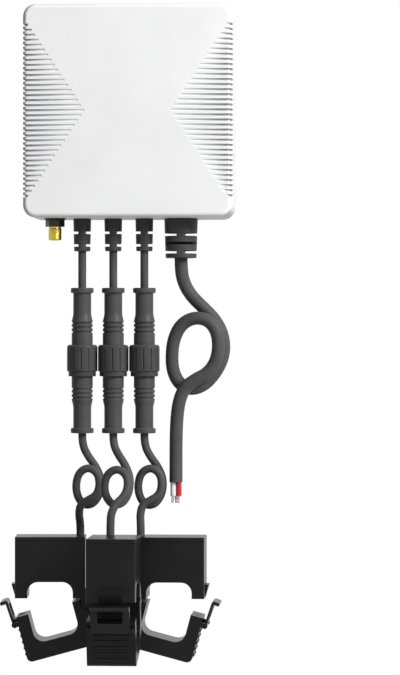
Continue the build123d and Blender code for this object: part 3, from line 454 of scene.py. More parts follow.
# %% [markdown]
# ## The grooves
#
# Each groove is a round-bottomed slot that is deepest at the side of the case and rises to a shallow, crisp
# end on the front. Its reach is longest halfway up. One slot cutter is made from a cylinder whose front half is pushed
# outwards, and then tilted. Scaled copies of it serve every row. A second cutter carries each slot round the
# corner and back along the side, where it ends in a ramp.

# %% The two slot cutters
GROOVE_ROWS, GROOVE_PITCH, GROOVE_RADIUS = 35, 2.35, 0.575
GROOVE_DEPTH, GROOVE_TIP_DEPTH, GROOVE_SIDE_REACH = 1.3, 0.3, 11.0
LONG_REACH, SHORT_REACH = 28.9, 2.8
OVERRUN = 2.0


def slot_cutter(name, start, end, radius, outward):
    """A round-bottomed slot along the line of its bottom, open towards a direction."""
    outward = Vector(outward)
    axis_shift = outward * radius
    cutter = add_rod(name, Vector(start) + axis_shift, Vector(end) + axis_shift, radius, sides=16)
    middle = (Vector(start) + Vector(end)) / 2 + axis_shift
    take(cutter)
    bpy.ops.object.mode_set(mode="EDIT")
    bpy.ops.mesh.select_mode(type="VERT")
    bpy.ops.mesh.select_all(action="DESELECT")
    mesh = bmesh.from_edit_mesh(cutter.data)
    for vertex in mesh.verts:
        vertex.select_set((vertex.co / MM - middle).dot(outward) > 0.01 * radius)
    bmesh.update_edit_mesh(cutter.data)
    bpy.ops.transform.translate(value=outward * OVERRUN * MM)
    leave_edit()
    return cutter


front_slot = slot_cutter(
    "front_slot", (-1.0, 0.0, 0.0), (OVERRUN / LONG_REACH, 0.0, 0.0), GROOVE_RADIUS, (0.0, -1.0, 0.0)
)
side_slot = slot_cutter(
    "side_slot", (CASE_HALF_WIDTH - GROOVE_DEPTH, -CASE_DEPTH - OVERRUN, 0.0),
    (CASE_HALF_WIDTH - GROOVE_DEPTH, -CASE_DEPTH + GROOVE_SIDE_REACH - GROOVE_DEPTH, 0.0),
    GROOVE_RADIUS, (1.0, 0.0, 0.0),
)
pick_faces(side_slot, lambda middle, normal: normal.y > 0.9)
bpy.ops.mesh.extrude_region_move(
    TRANSFORM_OT_translate={"value": (GROOVE_DEPTH * MM, GROOVE_DEPTH * MM, 0.0)}
)
leave_edit()
print("slot cutter faces:", len(front_slot.data.polygons), len(side_slot.data.polygons))

# %% Copy the cutters to every row and carve
MIRROR = Matrix.Scale(-1.0, 4, (1.0, 0.0, 0.0))
front_cutters, side_cutters = [], []
middle_row = (GROOVE_ROWS - 1) / 2
for row in range(GROOVE_ROWS):
    from_middle = abs(row - middle_row) / middle_row
    reach = LONG_REACH + (SHORT_REACH - LONG_REACH) * from_middle
    height = (row - middle_row) * GROOVE_PITCH
    run = reach - GROOVE_DEPTH
    fall = GROOVE_DEPTH - GROOVE_TIP_DEPTH
    tilt = Matrix.Rotation(math.atan2(fall, run), 4, "Z")
    stretch = Matrix.Diagonal((math.hypot(run, fall), 1.0, 1.0, 1.0))
    place = shift(CASE_HALF_WIDTH - GROOVE_DEPTH, -CASE_DEPTH + GROOVE_DEPTH, height)
    for turn in (Matrix.Identity(4), MIRROR):
        front_cutters.append(copy_of(front_slot, "front_cutter", turn @ place @ tilt @ stretch))
        side_cutters.append(copy_of(side_slot, "side_cutter", turn @ shift(z=height)))
bpy.data.objects.remove(front_slot)
bpy.data.objects.remove(side_slot)
carve(front_cover, join_all("front_cutters", front_cutters))
carve(front_cover, join_all("side_cutters", side_cutters))
print("front cover faces after carving:", len(front_cover.data.polygons))

# %% [markdown]
# ## Holes and posts of the front cover
#
# Half of each gland hole is in this cover, and the antenna jack has a hole of its own. Inside, four posts
# take the screws. These are cut and added with round bars. A fine bevel on every edge gives the soft lips of
# a moulding, which is what makes the grooves catch the light.

# %% Holes, posts and soft edges
JACK_X, JACK_Y = -34.907, -23.0
POWER_GLAND_X = POWER_X
CASE_FLOOR = -50.0
SCREW_X, SCREW_Z = 42.0, 43.0
SCREW_PLACES = [(x, z) for x in (-SCREW_X, SCREW_X) for z in (-SCREW_Z, SCREW_Z)]
SCREW_POST_RADIUS, SCREW_RADIUS, SCREW_HOLE_END = 3.6, 1.5, 29.0
GLAND_HOLES = [(LEAD_X[side], 3.1) for side in SIDES] + [(POWER_GLAND_X, 6.2)]


def floor_hole(x, y, radius):
    """A bar through the case floor."""
    return add_rod("hole", (x, y, CASE_FLOOR - OVERRUN), (x, y, CASE_FLOOR + CASE_WALL + OVERRUN), radius)


def peg(x, z, back, front, radius, sides=32):
    """A bar that points at the viewer between two depths."""
    return add_rod("peg", (x, -back, z), (x, -front, z), radius, sides=sides)


posts = [peg(x, z, SEAM_DEPTH, CASE_DEPTH - CASE_WALL + 0.5, SCREW_POST_RADIUS) for x, z in SCREW_PLACES]
carve(front_cover, join_all("posts", posts), operation="UNION")
holes = [peg(x, z, SEAM_DEPTH - OVERRUN, SCREW_HOLE_END, SCREW_RADIUS) for x, z in SCREW_PLACES]
holes += [floor_hole(x, LEAD_Y, radius) for x, radius in GLAND_HOLES]
holes += [floor_hole(JACK_X, JACK_Y, 3.175)]
carve(front_cover, join_all("holes", holes))
merge_flats(front_cover)
soften(front_cover, 0.1, segments=2, angle=28.0, clamp=False)
print("front cover faces:", len(front_cover.data.polygons))

# %% [markdown]
# ## The white moulding's finish
#
# The case is matt white ABS with a very fine spark-eroded texture. Painted shade darkens the floor of the
# grooves a little: the colour follows the depth under the case's six outer planes. Everything behind the
# front face's round, the sides and the rear cover, gets a grey painted shade, so that they read darker than
# the front. A noise keeps the flat face from being one value.

# %% White case finish
WHITE = make_finish(
    "case_white", (0.80, 0.80, 0.805), (0.84, 0.84, 0.84), (0.42, 0.55), 24.0, 0.5, 0.012, specular=0.1
)
# Two greys of painted shade: one for the groove floors, one for everything behind the front face.
GROOVE_PAINTED_SHADE, SIDE_PAINTED_SHADE = (0.50, 0.50, 0.51), (0.66, 0.66, 0.67)
PAINTED_SHADE_START, PAINTED_SHADE_END = 0.2, 1.1


def math_node(tree, operation, first, second=0.0):
    """The result of one sum; each input is a number or a socket."""
    node = tree.nodes.new("ShaderNodeMath")
    node.operation = operation
    for socket, value in zip(node.inputs, (first, second)):
        if isinstance(value, float):
            socket.default_value = value
        else:
            tree.links.new(value, socket)
    return node.outputs["Value"]


def tint(material, colour, measure, start_mm, end_mm):
    """Mixes a colour in, from nothing to all of it as the measure goes from start to end."""
    nodes, links = material.node_tree.nodes, material.node_tree.links
    target = nodes["Principled BSDF"].inputs["Base Color"]
    before = target.links[0].from_socket
    amount = nodes.new("ShaderNodeMapRange")
    amount.inputs["From Min"].default_value = start_mm * MM
    amount.inputs["From Max"].default_value = end_mm * MM
    links.new(measure, amount.inputs["Value"])
    mix = nodes.new("ShaderNodeMix")
    mix.data_type = "RGBA"
    links.new(amount.outputs["Result"], mix.inputs["Factor"])
    links.new(before, mix.inputs["A"])
    mix.inputs["B"].default_value = (*colour, 1.0)
    links.new(mix.outputs["Result"], target)


# %% Painted shade on the sides and in the hollows
tree = WHITE.node_tree
place = tree.nodes.new("ShaderNodeTexCoord").outputs["Object"]
axes = tree.nodes.new("ShaderNodeSeparateXYZ")
tree.links.new(place, axes.inputs["Vector"])
from_front = math_node(tree, "ADD", axes.outputs["Y"], CASE_DEPTH * MM)
depth = None
for socket, low, high in (
    ("X", -CASE_HALF_WIDTH, CASE_HALF_WIDTH), ("Y", -CASE_DEPTH, 0.0), ("Z", -CASE_HALF_HEIGHT, CASE_HALF_HEIGHT)
):
    off_middle = math_node(tree, "ABSOLUTE", math_node(tree, "SUBTRACT", axes.outputs[socket], (low + high) / 2 * MM))
    under_plane = math_node(tree, "SUBTRACT", (high - low) / 2 * MM, off_middle)
    depth = under_plane if depth is None else math_node(tree, "MINIMUM", depth, under_plane)
# Painted shade: from the front face's round backwards, the sides, top, floor and rear cover turn grey.
tint(WHITE, SIDE_PAINTED_SHADE, from_front, FRONT_ROUND * 0.5, FRONT_ROUND * 1.2)
# Painted shade: the deeper a point lies under the case's outer planes, as on a groove floor, the greyer it is.
tint(WHITE, GROOVE_PAINTED_SHADE, depth, PAINTED_SHADE_START, PAINTED_SHADE_END)
print("white finish has", len(tree.nodes), "nodes")

# %% Dress the front cover
dress(front_cover, WHITE, "root", nodes=("front_cover",), smooth=40.0, flat_weight=100)

# %% [markdown]
# ## The rear cover
#
# The shallow half that lies on the wall is a tray. It has a chamfered back edge, a groove for the seal in its
# rim, four deep screw recesses and two keyholes with closed pockets behind them. It is made the same way as
# the front: block, rounded corners, inset and push.

# %% The rear tray
BACK_CHAMFER, SEAL_DEPTH = 1.0, 1.6
SEAL_WIDTH = 1.2

rear_cover = add_block(
    "case_back", (-CASE_HALF_WIDTH, -SEAM_DEPTH, -CASE_HALF_HEIGHT), (CASE_HALF_WIDTH, 0.0, CASE_HALF_HEIGHT)
)
round_edges(rear_cover, lambda middle, along: abs(along.y) > 0.9, CASE_CORNER, 8)
round_edges(rear_cover, lambda middle, along: middle.y > -0.01, BACK_CHAMFER, 2)
pick_faces(rear_cover, lambda middle, normal: normal.y < -0.9)
bpy.ops.mesh.inset(thickness=CASE_WALL * MM)
bpy.ops.mesh.extrude_region_move(TRANSFORM_OT_translate={"value": (0.0, (SEAM_DEPTH - CASE_WALL) * MM, 0.0)})
leave_edit()
pick_faces(rear_cover, lambda middle, normal: normal.y < -0.9 and middle.y < -SEAM_DEPTH + 0.01)
bpy.ops.mesh.inset(thickness=TONGUE_INSET * MM)
bpy.ops.mesh.extrude_region_move(TRANSFORM_OT_translate={"value": (0.0, SEAL_DEPTH * MM, 0.0)})
leave_edit()
print("rear tray faces:", len(rear_cover.data.polygons))

# %% Keyholes, screw recesses and posts of the tray
KEYHOLE_X, KEYHOLE_Z = 25.0, 26.0
HEAD_RADIUS, SLOT_RADIUS, SLOT_LENGTH, KEYHOLE_DEPTH, POCKET_WALL = 4.0, 2.1, 7.0, 5.0, 1.5
SCREW_HEAD_RADIUS, SCREW_RECESS = 2.6, 9.0
BOARD_PLACES = [(x, z) for x in (-34.0, 34.0) for z in (-26.0, 36.0)]
BOARD_POST_RADIUS, BOARD_SCREW_RADIUS, BOARD_DEPTH = 3.0, 1.1, 8.5


def keyhole(x, entry_radius, slot_radius, back, front):
    """A round entry, a slot upwards and its round end, as one cutter or one wall."""
    top = KEYHOLE_Z + SLOT_LENGTH
    entry = peg(x, KEYHOLE_Z, back, front, entry_radius)
    slot = add_block("slot", (x - slot_radius, -front, KEYHOLE_Z), (x + slot_radius, -back, top))
    end = peg(x, top, back, front, slot_radius)
    carve(entry, slot, end, operation="UNION")
    return entry


for x in (-KEYHOLE_X, KEYHOLE_X):
    outer = HEAD_RADIUS + POCKET_WALL
    carve(rear_cover, keyhole(x, outer, outer, CASE_WALL / 2, KEYHOLE_DEPTH + POCKET_WALL), operation="UNION")
    carve(rear_cover, keyhole(x, HEAD_RADIUS, HEAD_RADIUS, CASE_WALL, KEYHOLE_DEPTH))
    carve(rear_cover, keyhole(x, HEAD_RADIUS, SLOT_RADIUS, -OVERRUN, CASE_WALL + 0.5))
posts = [peg(x, z, CASE_WALL - 0.5, SEAM_DEPTH, SCREW_POST_RADIUS) for x, z in SCREW_PLACES]
posts += [peg(x, z, CASE_WALL - 0.5, BOARD_DEPTH, BOARD_POST_RADIUS) for x, z in BOARD_PLACES]
carve(rear_cover, join_all("posts", posts), operation="UNION")
holes = [peg(x, z, -OVERRUN, SEAM_DEPTH + OVERRUN, SCREW_RADIUS) for x, z in SCREW_PLACES]
holes += [peg(x, z, 4.1, BOARD_DEPTH + OVERRUN, BOARD_SCREW_RADIUS) for x, z in BOARD_PLACES]
holes += [floor_hole(x, LEAD_Y, radius) for x, radius in GLAND_HOLES]
carve(rear_cover, join_all("holes", holes))
recesses = [peg(x, z, -OVERRUN, SCREW_RECESS, SCREW_HEAD_RADIUS) for x, z in SCREW_PLACES]
carve(rear_cover, join_all("recesses", recesses))
soften(rear_cover, 0.15, segments=2, angle=32.0)
dress(rear_cover, WHITE, "root", nodes=("rear_cover",), smooth=40.0)

# %% [markdown]
# ## The case screws
#
# Four pan-head screws come in from the back. One is turned from a short profile, gets a cross recess cut with
# two thin blocks, and is copied to the other three places. The steel is zinc plated, with a slightly cloudy
# gloss.

# %% Screws
STEEL = make_finish("zinc_steel", (0.50, 0.50, 0.51), (0.60, 0.60, 0.60), (0.25, 0.42), 1.5, 0.25, 0.004, metallic=1.0)
HEAD_HEIGHT, SCREW_LENGTH, RECESS_WIDTH = 1.8, 18.0, 0.8
screw = lathe("screw", 0.0, 0.0, (
    (1.6, SCREW_RECESS - HEAD_HEIGHT), (2.4, SCREW_RECESS - HEAD_HEIGHT + 0.35), (2.58, SCREW_RECESS - 0.5),
    (2.58, SCREW_RECESS), (1.48, SCREW_RECESS), (1.48, SCREW_RECESS + SCREW_LENGTH - 2.0),
    (0.3, SCREW_RECESS + SCREW_LENGTH),
), sides=24)
low, high = SCREW_RECESS - HEAD_HEIGHT - OVERRUN, SCREW_RECESS - HEAD_HEIGHT + 1.0
for half_x, half_y in ((1.5, RECESS_WIDTH / 2), (RECESS_WIDTH / 2, 1.5)):
    carve(screw, add_block("recess", (-half_x, -half_y, low), (half_x, half_y, high)))
soften(screw, 0.08, segments=2)
TO_DEPTH = Matrix.Rotation(math.radians(90.0), 4, "X")
screws = [copy_of(screw, "screw", shift(x, 0.0, z) @ TO_DEPTH) for x, z in SCREW_PLACES]
bpy.data.objects.remove(screw)
dress(join_all("case_screws", screws), STEEL, "root", nodes=("cover_screws",))

# %% [markdown]
# ## The antenna jack
#
# A gold-plated coaxial jack goes through the floor of the case. Its thread is a fine one, so it is turned
# here as close rings. A blackened hexagon nut and a washer hold it. The bore shows a white insulator round a
# thin gold pin.

# %% Gold jack with its thread
GOLD = make_finish(
    "gold_plate", (0.44, 0.33, 0.05), (0.58, 0.45, 0.09), (0.16, 0.28), 2.5, 0.3, 0.004, metallic=1.0
)
JACK_END = -60.3
THREAD_RADIUS, THREAD_ROOT, THREAD_PITCH = 3.175, 2.98, 0.706
jack_profile = [(2.3, JACK_END + 4.0), (2.3, JACK_END), (2.75, JACK_END), (THREAD_ROOT, JACK_END + 0.35)]
WASHER_HEIGHT, NUT_HEIGHT, RELIEF = 0.8, 3.2, 0.5
relief_top = CASE_FLOOR - WASHER_HEIGHT - NUT_HEIGHT
height = JACK_END + 0.45
while height + THREAD_PITCH < relief_top - RELIEF:
    jack_profile += [(THREAD_ROOT, height), (THREAD_RADIUS, height + THREAD_PITCH * 0.35)]
    jack_profile += [(THREAD_RADIUS, height + THREAD_PITCH * 0.55), (THREAD_ROOT, height + THREAD_PITCH * 0.9)]
    height += THREAD_PITCH
jack_profile += [
    (2.9, relief_top - RELIEF), (2.9, relief_top), (THREAD_RADIUS, relief_top),
    (THREAD_RADIUS, CASE_FLOOR + CASE_WALL), (4.4, CASE_FLOOR + CASE_WALL), (4.4, CASE_FLOOR + CASE_WALL + 1.8),
    (1.7, CASE_FLOOR + CASE_WALL + 1.8), (1.7, CASE_FLOOR + CASE_WALL + 6.8),
]
jack = lathe("jack", JACK_X, JACK_Y, jack_profile, sides=48)
dress(jack, GOLD, "root", nodes=("antenna_jack",), smooth=50.0)

# %% Hexagon nut and washer
BLACKENED = make_finish(
    "blackened_brass", (0.020, 0.019, 0.012), (0.040, 0.037, 0.022), (0.24, 0.36), 2.0, 0.3, 0.004, metallic=0.7
)
NUT_HALF = 4.0
nut_top = CASE_FLOOR - WASHER_HEIGHT
nut = add_rod(
    "jack_nut", (JACK_X, JACK_Y, nut_top - NUT_HEIGHT), (JACK_X, JACK_Y, nut_top),
    NUT_HALF / math.cos(math.pi / 6), sides=6,
)
take(nut)
bpy.ops.object.mode_set(mode="EDIT")
bpy.ops.mesh.select_all(action="SELECT")
bpy.ops.transform.rotate(
    value=math.radians(30.0), orient_axis="Z", center_override=(JACK_X * MM, JACK_Y * MM, nut_top * MM)
)
leave_edit()
print("nut spans", round(nut.dimensions.x * 1000, 2), "by", round(nut.dimensions.y * 1000, 2), "mm")

# %% Soften the nut and add the washer
round_edges(nut, lambda middle, along: abs(along.z) > 0.9, 0.25, 2)
bore = add_rod("bore", (JACK_X, JACK_Y, nut_top - NUT_HEIGHT - 1.0), (JACK_X, JACK_Y, nut_top + 1.0), THREAD_RADIUS, sides=48)
carve(nut, bore)
soften(nut, 0.3, segments=3)
dress(nut, BLACKENED, "root", nodes=("antenna_nut",))
washer = lathe("jack_washer", JACK_X, JACK_Y, (
    (THREAD_RADIUS, CASE_FLOOR), (THREAD_RADIUS, CASE_FLOOR - WASHER_HEIGHT),
    (4.8, CASE_FLOOR - WASHER_HEIGHT), (5.0, CASE_FLOOR - WASHER_HEIGHT + 0.2),
    (5.0, CASE_FLOOR), (THREAD_RADIUS, CASE_FLOOR),
), ring=True)
dress(washer, BLACKENED, "root", nodes=("antenna_washer",))

# %% [markdown]
# ## The glands
#
# Each cable leaves the case through a moulded strain relief: a stack of blocks joined only by a narrow web,
# so that it bends. One is turned from its profile with the blocks' small steps, then the slots are cut from
# both sides with thin blocks. The three small ones are copies. The rubber is dull black and dusty.

# %% Gland shape and finish
RUBBER = make_finish(
    "gland_rubber", (0.040, 0.040, 0.041), (0.052, 0.052, 0.053), (0.46, 0.62), 5.0, 0.35, 0.015, specular=0.2
)


def make_gland(name, radius, end_radius, neck_radius, core_radius, blocks, slot, web, front_slot):
    """A strain relief on the Z axis: flange inside, neck, and slotted blocks under the floor."""
    inner = CASE_FLOOR + CASE_WALL
    bottom = CASE_FLOOR - sum(blocks) - slot * (len(blocks) - 1)
    gland = lathe(name, 0.0, 0.0, (
        (core_radius, inner + 2.0), (core_radius, bottom), (end_radius - 0.3, bottom),
        (end_radius, bottom + 0.3), (radius, CASE_FLOOR - 0.4), (radius - 0.3, CASE_FLOOR),
        (neck_radius, CASE_FLOOR), (neck_radius, inner), (radius, inner), (radius, inner + 2.0),
        (core_radius, inner + 2.0),
    ), sides=64, ring=True)
    height, reach, cutters = CASE_FLOOR, radius + OVERRUN, []
    for block in blocks[:-1]:
        height -= block
        for low, high in ((-reach, -web / 2), (web / 2, reach)):
            cutters.append(add_block("slot", (low, -reach, height - slot), (high, reach, height)))
        height -= slot
    if front_slot:
        top = CASE_FLOOR - blocks[0] - slot - (blocks[1] - front_slot) / 2
        for low, high in ((-reach, -web / 2), (web / 2, reach)):
            cutters.append(add_block("slot", (-reach, low, top - front_slot), (reach, high, top)))
    carve(gland, join_all("slots", cutters))
    soften(gland, 0.28, segments=3, angle=40.0)
    return gland


small_gland = make_gland("small_gland", 4.2, 3.85, 3.1, 1.1, (6.0, 4.7, 2.1), 1.25, 3.0, 0.0)
for side in SIDES:
    gland = copy_of(small_gland, side + "_strain_relief", shift(LEAD_X[side], LEAD_Y))
    dress(gland, RUBBER, "root", nodes=(side + "_gland",))
bpy.data.objects.remove(small_gland)
power_gland = make_gland("supply_strain_relief", 7.9, 7.3, 6.2, 1.45, (7.0, 7.0, 2.1), 1.25, 3.3, 1.2)
power_gland.data.transform(shift(POWER_X, LEAD_Y))
dress(power_gland, RUBBER, "root", nodes=("power_gland",))

# %% [markdown]
# ## The short leads
#
# Above each connector runs a straight piece of the same cable. Inside the gland only its thinner conductors
# go on, up to the terminal.

# %% Leads between gland and connector
GLAND_END, CONNECTOR_TOP, LEAD_GRIP, WIRE_TOP = -65.3, -82.6, 11.0, -34.0
lead = lathe("lead", 0.0, 0.0, (
    (1.1, WIRE_TOP), (1.1, GLAND_END), (CORD_RADIUS, GLAND_END), (CORD_RADIUS, CONNECTOR_TOP - LEAD_GRIP),
), sides=40)
for side in SIDES:
    piece = copy_of(lead, side + "_short_lead", shift(LEAD_X[side], LEAD_Y))
    dress(piece, JACKET, "root", nodes=(side + "_lead",))
bpy.data.objects.remove(lead)

# %% [markdown]
# ## The connector halves
#
# Each connector has two moulded halves. From the cable end they show a collar, a slim waist, a flare and
# three ribs to hold it by. Both halves share that profile, mirrored. The ribs are rounded in the profile
# itself, with several rings each, so that they shine as soft bands.

# %% Connector profiles
MOULDING = make_finish(
    "connector_moulding", (0.056, 0.056, 0.057), (0.070, 0.070, 0.072), (0.34, 0.46), 7.0, 0.4, 0.012, specular=0.1
)
NUT_TOP, NUT_BOTTOM = -109.4, -124.3
SHELL_END, COLLAR_TOP = -113.8, -111.3
RIB_PITCH, RIB_GAP, RIB_DEPTH = 2.1, 0.8, 0.5


def cable_half(cable_radius):
    """The (radius, distance from the cable end) points that both halves share."""
    points = [
        (cable_radius, LEAD_GRIP), (cable_radius, 0.0), (4.9, 0.0), (5.25, 0.12), (5.4, 0.45),
        (5.4, 1.95), (5.25, 2.28), (4.9, 2.4), (4.45, 2.5), (4.25, 2.8), (4.25, 12.0),
        (4.34, 12.9), (4.62, 14.2), (4.88, 15.2), (5.0, 15.9),
    ]
    for rib in range(3):
        gap = 15.6 + RIB_PITCH * (rib + 0.5) - RIB_GAP / 2
        points += [
            (5.0, gap - 0.15), (4.85, gap), (5.0 - RIB_DEPTH, gap + 0.14),
            (5.0 - RIB_DEPTH, gap + RIB_GAP - 0.14), (4.85, gap + RIB_GAP), (5.0, gap + RIB_GAP + 0.15),
        ]
    return points


socket_profile = [(radius, CONNECTOR_TOP - drop) for radius, drop in cable_half(CORD_RADIUS)]
socket_profile += [(5.0, COLLAR_TOP), (5.75, COLLAR_TOP), (5.9, COLLAR_TOP - 0.15), (5.9, SHELL_END)]
plug_profile = [(radius, CONNECTOR_BOTTOM + rise) for radius, rise in cable_half(1.1)]
plug_profile += [(5.0, NUT_BOTTOM + 1.0), (6.0, NUT_BOTTOM + 1.0), (6.0, SHELL_END - 0.8)]
for label, profile, node in (("socket", socket_profile, "_socket_shell"), ("plug", plug_profile, "_plug_shell")):
    half = lathe(label, 0.0, 0.0, profile, sides=56)
    for side in SIDES:
        piece = copy_of(half, side + "_connector_" + label, shift(LEAD_X[side], LEAD_Y))
        dress(piece, MOULDING, "root", nodes=(side + node,), smooth=45.0)
    bpy.data.objects.remove(half)

# %% [markdown]
# ## The coupling nuts
#
# A threaded ring turns on each connector. It has a chamfered top, twelve shallow finger grooves and a plain
# lower collar. It is turned as a ring with its bore, and the grooves are cut with a circle of thin bars.

# %% Coupling nut
NUT_FINISH = make_finish(
    "nut_moulding", (0.048, 0.048, 0.049), (0.060, 0.060, 0.062), (0.34, 0.46), 6.0, 0.4, 0.012, specular=0.1
)
NUT_RADIUS, COLLAR_RADIUS, NUT_BORE, NUT_LENGTH = 7.2, 6.5, 6.1, 12.6
collar_start = NUT_TOP - NUT_LENGTH
ring = lathe("ring", 0.0, 0.0, (
    (5.1, NUT_TOP), (6.1, NUT_TOP), (6.5, NUT_TOP - 0.1), (7.05, NUT_TOP - 0.65), (NUT_RADIUS, NUT_TOP - 1.1),
    (NUT_RADIUS, collar_start + 0.5), (7.05, collar_start + 0.15), (6.8, collar_start),
    (COLLAR_RADIUS, collar_start - 0.05), (COLLAR_RADIUS, NUT_BOTTOM + 0.25), (6.3, NUT_BOTTOM),
    (NUT_BORE, NUT_BOTTOM), (NUT_BORE, NUT_TOP - 1.8), (5.1, NUT_TOP - 1.8), (5.1, NUT_TOP),
), sides=72, ring=True)
grips = []
for number in range(12):
    angle = math.radians(30.0 * number)
    x, y = NUT_RADIUS * math.cos(angle), NUT_RADIUS * math.sin(angle)
    grips.append(add_rod("grip", (x, y, collar_start + 0.9), (x, y, NUT_TOP - 1.8), 0.45, sides=16))
carve(ring, join_all("grips", grips))
soften(ring, 0.12, segments=2, angle=40.0)
for side in SIDES:
    piece = copy_of(ring, side + "_ring", shift(LEAD_X[side], LEAD_Y))
    dress(piece, NUT_FINISH, side + "_nut_body", nodes=(side + "_coupling_nut",), smooth=45.0)
bpy.data.objects.remove(ring)

# %% [markdown]
# ## The bare end of the supply cable
#
# Three insulated wires come out of the jacket, and each ends in a few millimetres of twisted tinned copper.
# A wire is a short bar with rounded ends. Its strands are seven small circles drawn out in steps, each step
# turned a little, which twists them.

# %% Wires and strands
RED = make_finish("red_pvc", (0.42, 0.006, 0.012), (0.52, 0.012, 0.020), (0.30, 0.40), 2.0, 0.3, 0.006)
WHITE_PVC = make_finish("white_pvc", (0.62, 0.62, 0.60), (0.74, 0.74, 0.72), (0.32, 0.42), 2.0, 0.3, 0.006)
BLACK_PVC = make_finish("black_pvc", (0.022, 0.022, 0.023), (0.032, 0.032, 0.034), (0.30, 0.42), 2.0, 0.3, 0.006)
TINNED = make_finish("tinned_copper", (0.55, 0.50, 0.45), (0.72, 0.70, 0.67), (0.24, 0.38), 0.8, 0.2, 0.003, metallic=1.0)
JACKET_END, WIRE_LENGTH, STRAND_LENGTH = -174.1, 6.5, 3.3
WIRE_RADIUS, STRAND_CIRCLE, STRAND_RADIUS = 1.3, 0.56, 0.28
WIRES = (("red", -25.0, RED), ("white", 215.0, WHITE_PVC), ("black", 95.0, BLACK_PVC))
wire_end = JACKET_END - WIRE_LENGTH


def twisted_strands(name, x, y, top, bottom, steps=6, step_turn=14.0):
    """Seven fine wires that twist together round the middle one."""
    bpy.ops.object.select_all(action="DESELECT")
    circles = []
    for number in range(7):
        angle = math.radians(60.0 * number)
        out = 0.0 if number == 6 else STRAND_CIRCLE
        bpy.ops.mesh.primitive_circle_add(
            vertices=10, radius=STRAND_RADIUS * MM, fill_type="NGON",
            location=((x + out * math.cos(angle)) * MM, (y + out * math.sin(angle)) * MM, top * MM),
        )
        circles.append(bpy.context.object)
    bundle = join_all(name, circles)
    bpy.ops.object.transform_apply(location=True, rotation=True, scale=True)
    bpy.ops.object.mode_set(mode="EDIT")
    bpy.ops.mesh.select_mode(type="FACE")
    bpy.ops.mesh.select_all(action="SELECT")
    for step in range(steps):
        move = (0.0, 0.0, (bottom - top) / steps * MM)
        bpy.ops.mesh.extrude_region_move(TRANSFORM_OT_translate={"value": move})
        bpy.ops.transform.rotate(
            value=math.radians(step_turn), orient_axis="Z", center_override=(x * MM, y * MM, 0.0)
        )
    bpy.ops.mesh.select_all(action="SELECT")
    bpy.ops.mesh.normals_make_consistent(inside=False)
    leave_edit()
    return bundle


end_x = POWER_X + POWER_ROUTE[-1][0]
bundles, wire_pieces = [], []
for name, angle, finish in WIRES:
    x = end_x + 1.55 * math.cos(math.radians(angle))
    y = LEAD_Y + 1.55 * math.sin(math.radians(angle))
    wire = add_rod(name + "_insulation", (x, y, wire_end), (x, y, JACKET_END + 0.5), WIRE_RADIUS, sides=32)
    soften(wire, 0.18, segments=3)
    dress(wire, finish, "root", nodes=(name + "_wire",))
    wire_pieces.append(wire)
    bundles.append(twisted_strands(name + "_strands", x, y, wire_end + 0.3, wire_end - STRAND_LENGTH))
strands = dress(join_all("strands", bundles), TINNED, "root", nodes=("bare_strands",))

# %% [markdown]
# ## The clamps
#
# A split-core clamp has a fixed body with a lid, and a jaw that swings on a hinge pin. A latch frame on the
# jaw hooks over a wedge on the body. All three clamps are one product, so each piece is modelled once, drawn
# closed about its parting line, and then copied. The jaw hangs fifteen degrees open, as in the picture, with
# its latch tilted four degrees out. The middle clamp is turned a quarter round and the right one half, and the
# left one faces the camera a little.

# %% Clamp sizes and places
HALF_CLAMP, HALF_THICK, BODY_HEIGHT, JAW_HEIGHT = 16.5, 11.25, 28.7, 22.1
HALF_WINDOW, WINDOW_UP, WINDOW_DOWN, WINDOW_CORNER = 10.65, 7.6, 14.4, 5.0
HINGE_X, HINGE_Z, KNUCKLE, PIN = 17.4, -2.2, 3.0, 1.2
CORE_OUT, CORE_IN, HALF_CORE = 15.05, 12.05, 6.0
LATCH_X, PIVOT_Z = -18.45, -3.5
LID_HEIGHT, CLAMP_WALL = 2.0, 1.45
EAR_INNER, KNUCKLE_HALF = 7.5, 7.3
CLAMP_PLACES = {
    "left": (LEAD_X["left"] - 14.85, -17.0, CONNECTOR_BOTTOM - 48.4 - BODY_HEIGHT, 4.0),
    "middle": (LEAD_X["middle"] + 3.55, -56.0, CONNECTOR_BOTTOM - 46.4 - BODY_HEIGHT, 90.0),
    "right": (LEAD_X["right"] + 12.35, -17.0, CONNECTOR_BOTTOM - 48.4 - BODY_HEIGHT, 180.0),
}


def swing(x, z, angle):
    """A turn about a pin along Y, opening the clamp for a positive angle."""
    return shift(x, 0.0, z) @ Matrix.Rotation(math.radians(-angle), 4, "Y") @ shift(-x, 0.0, -z)


PLACED = {
    side: shift(x, y, z) @ Matrix.Rotation(math.radians(turn), 4, "Z")
    for side, (x, y, z, turn) in CLAMP_PLACES.items()
}
JAW_OPEN = swing(HINGE_X, HINGE_Z, 15.0)
LATCH_OPEN = JAW_OPEN @ swing(LATCH_X, PIVOT_Z, 4.0)


def cross_bar(x, z, low_y, high_y, radius, sides=40):
    """A bar along Y."""
    return add_rod("bar", (x, low_y, z), (x, high_y, z), radius, sides=sides)


def plate(name, outline, low_y, high_y):
    """A plate in XZ: its outline is one face, drawn out along Y."""
    mesh = bpy.data.meshes.new(name)
    mesh.from_pydata([(x * MM, low_y * MM, z * MM) for x, z in outline], [], [tuple(range(len(outline)))])
    piece = bpy.data.objects.new(name, mesh)
    bpy.context.scene.collection.objects.link(piece)
    take(piece)
    bpy.ops.object.mode_set(mode="EDIT")
    bpy.ops.mesh.select_all(action="SELECT")
    bpy.ops.mesh.extrude_region_move(TRANSFORM_OT_translate={"value": (0.0, (high_y - low_y) * MM, 0.0)})
    bpy.ops.mesh.select_all(action="SELECT")
    bpy.ops.mesh.normals_make_consistent(inside=False)
    leave_edit()
    return piece


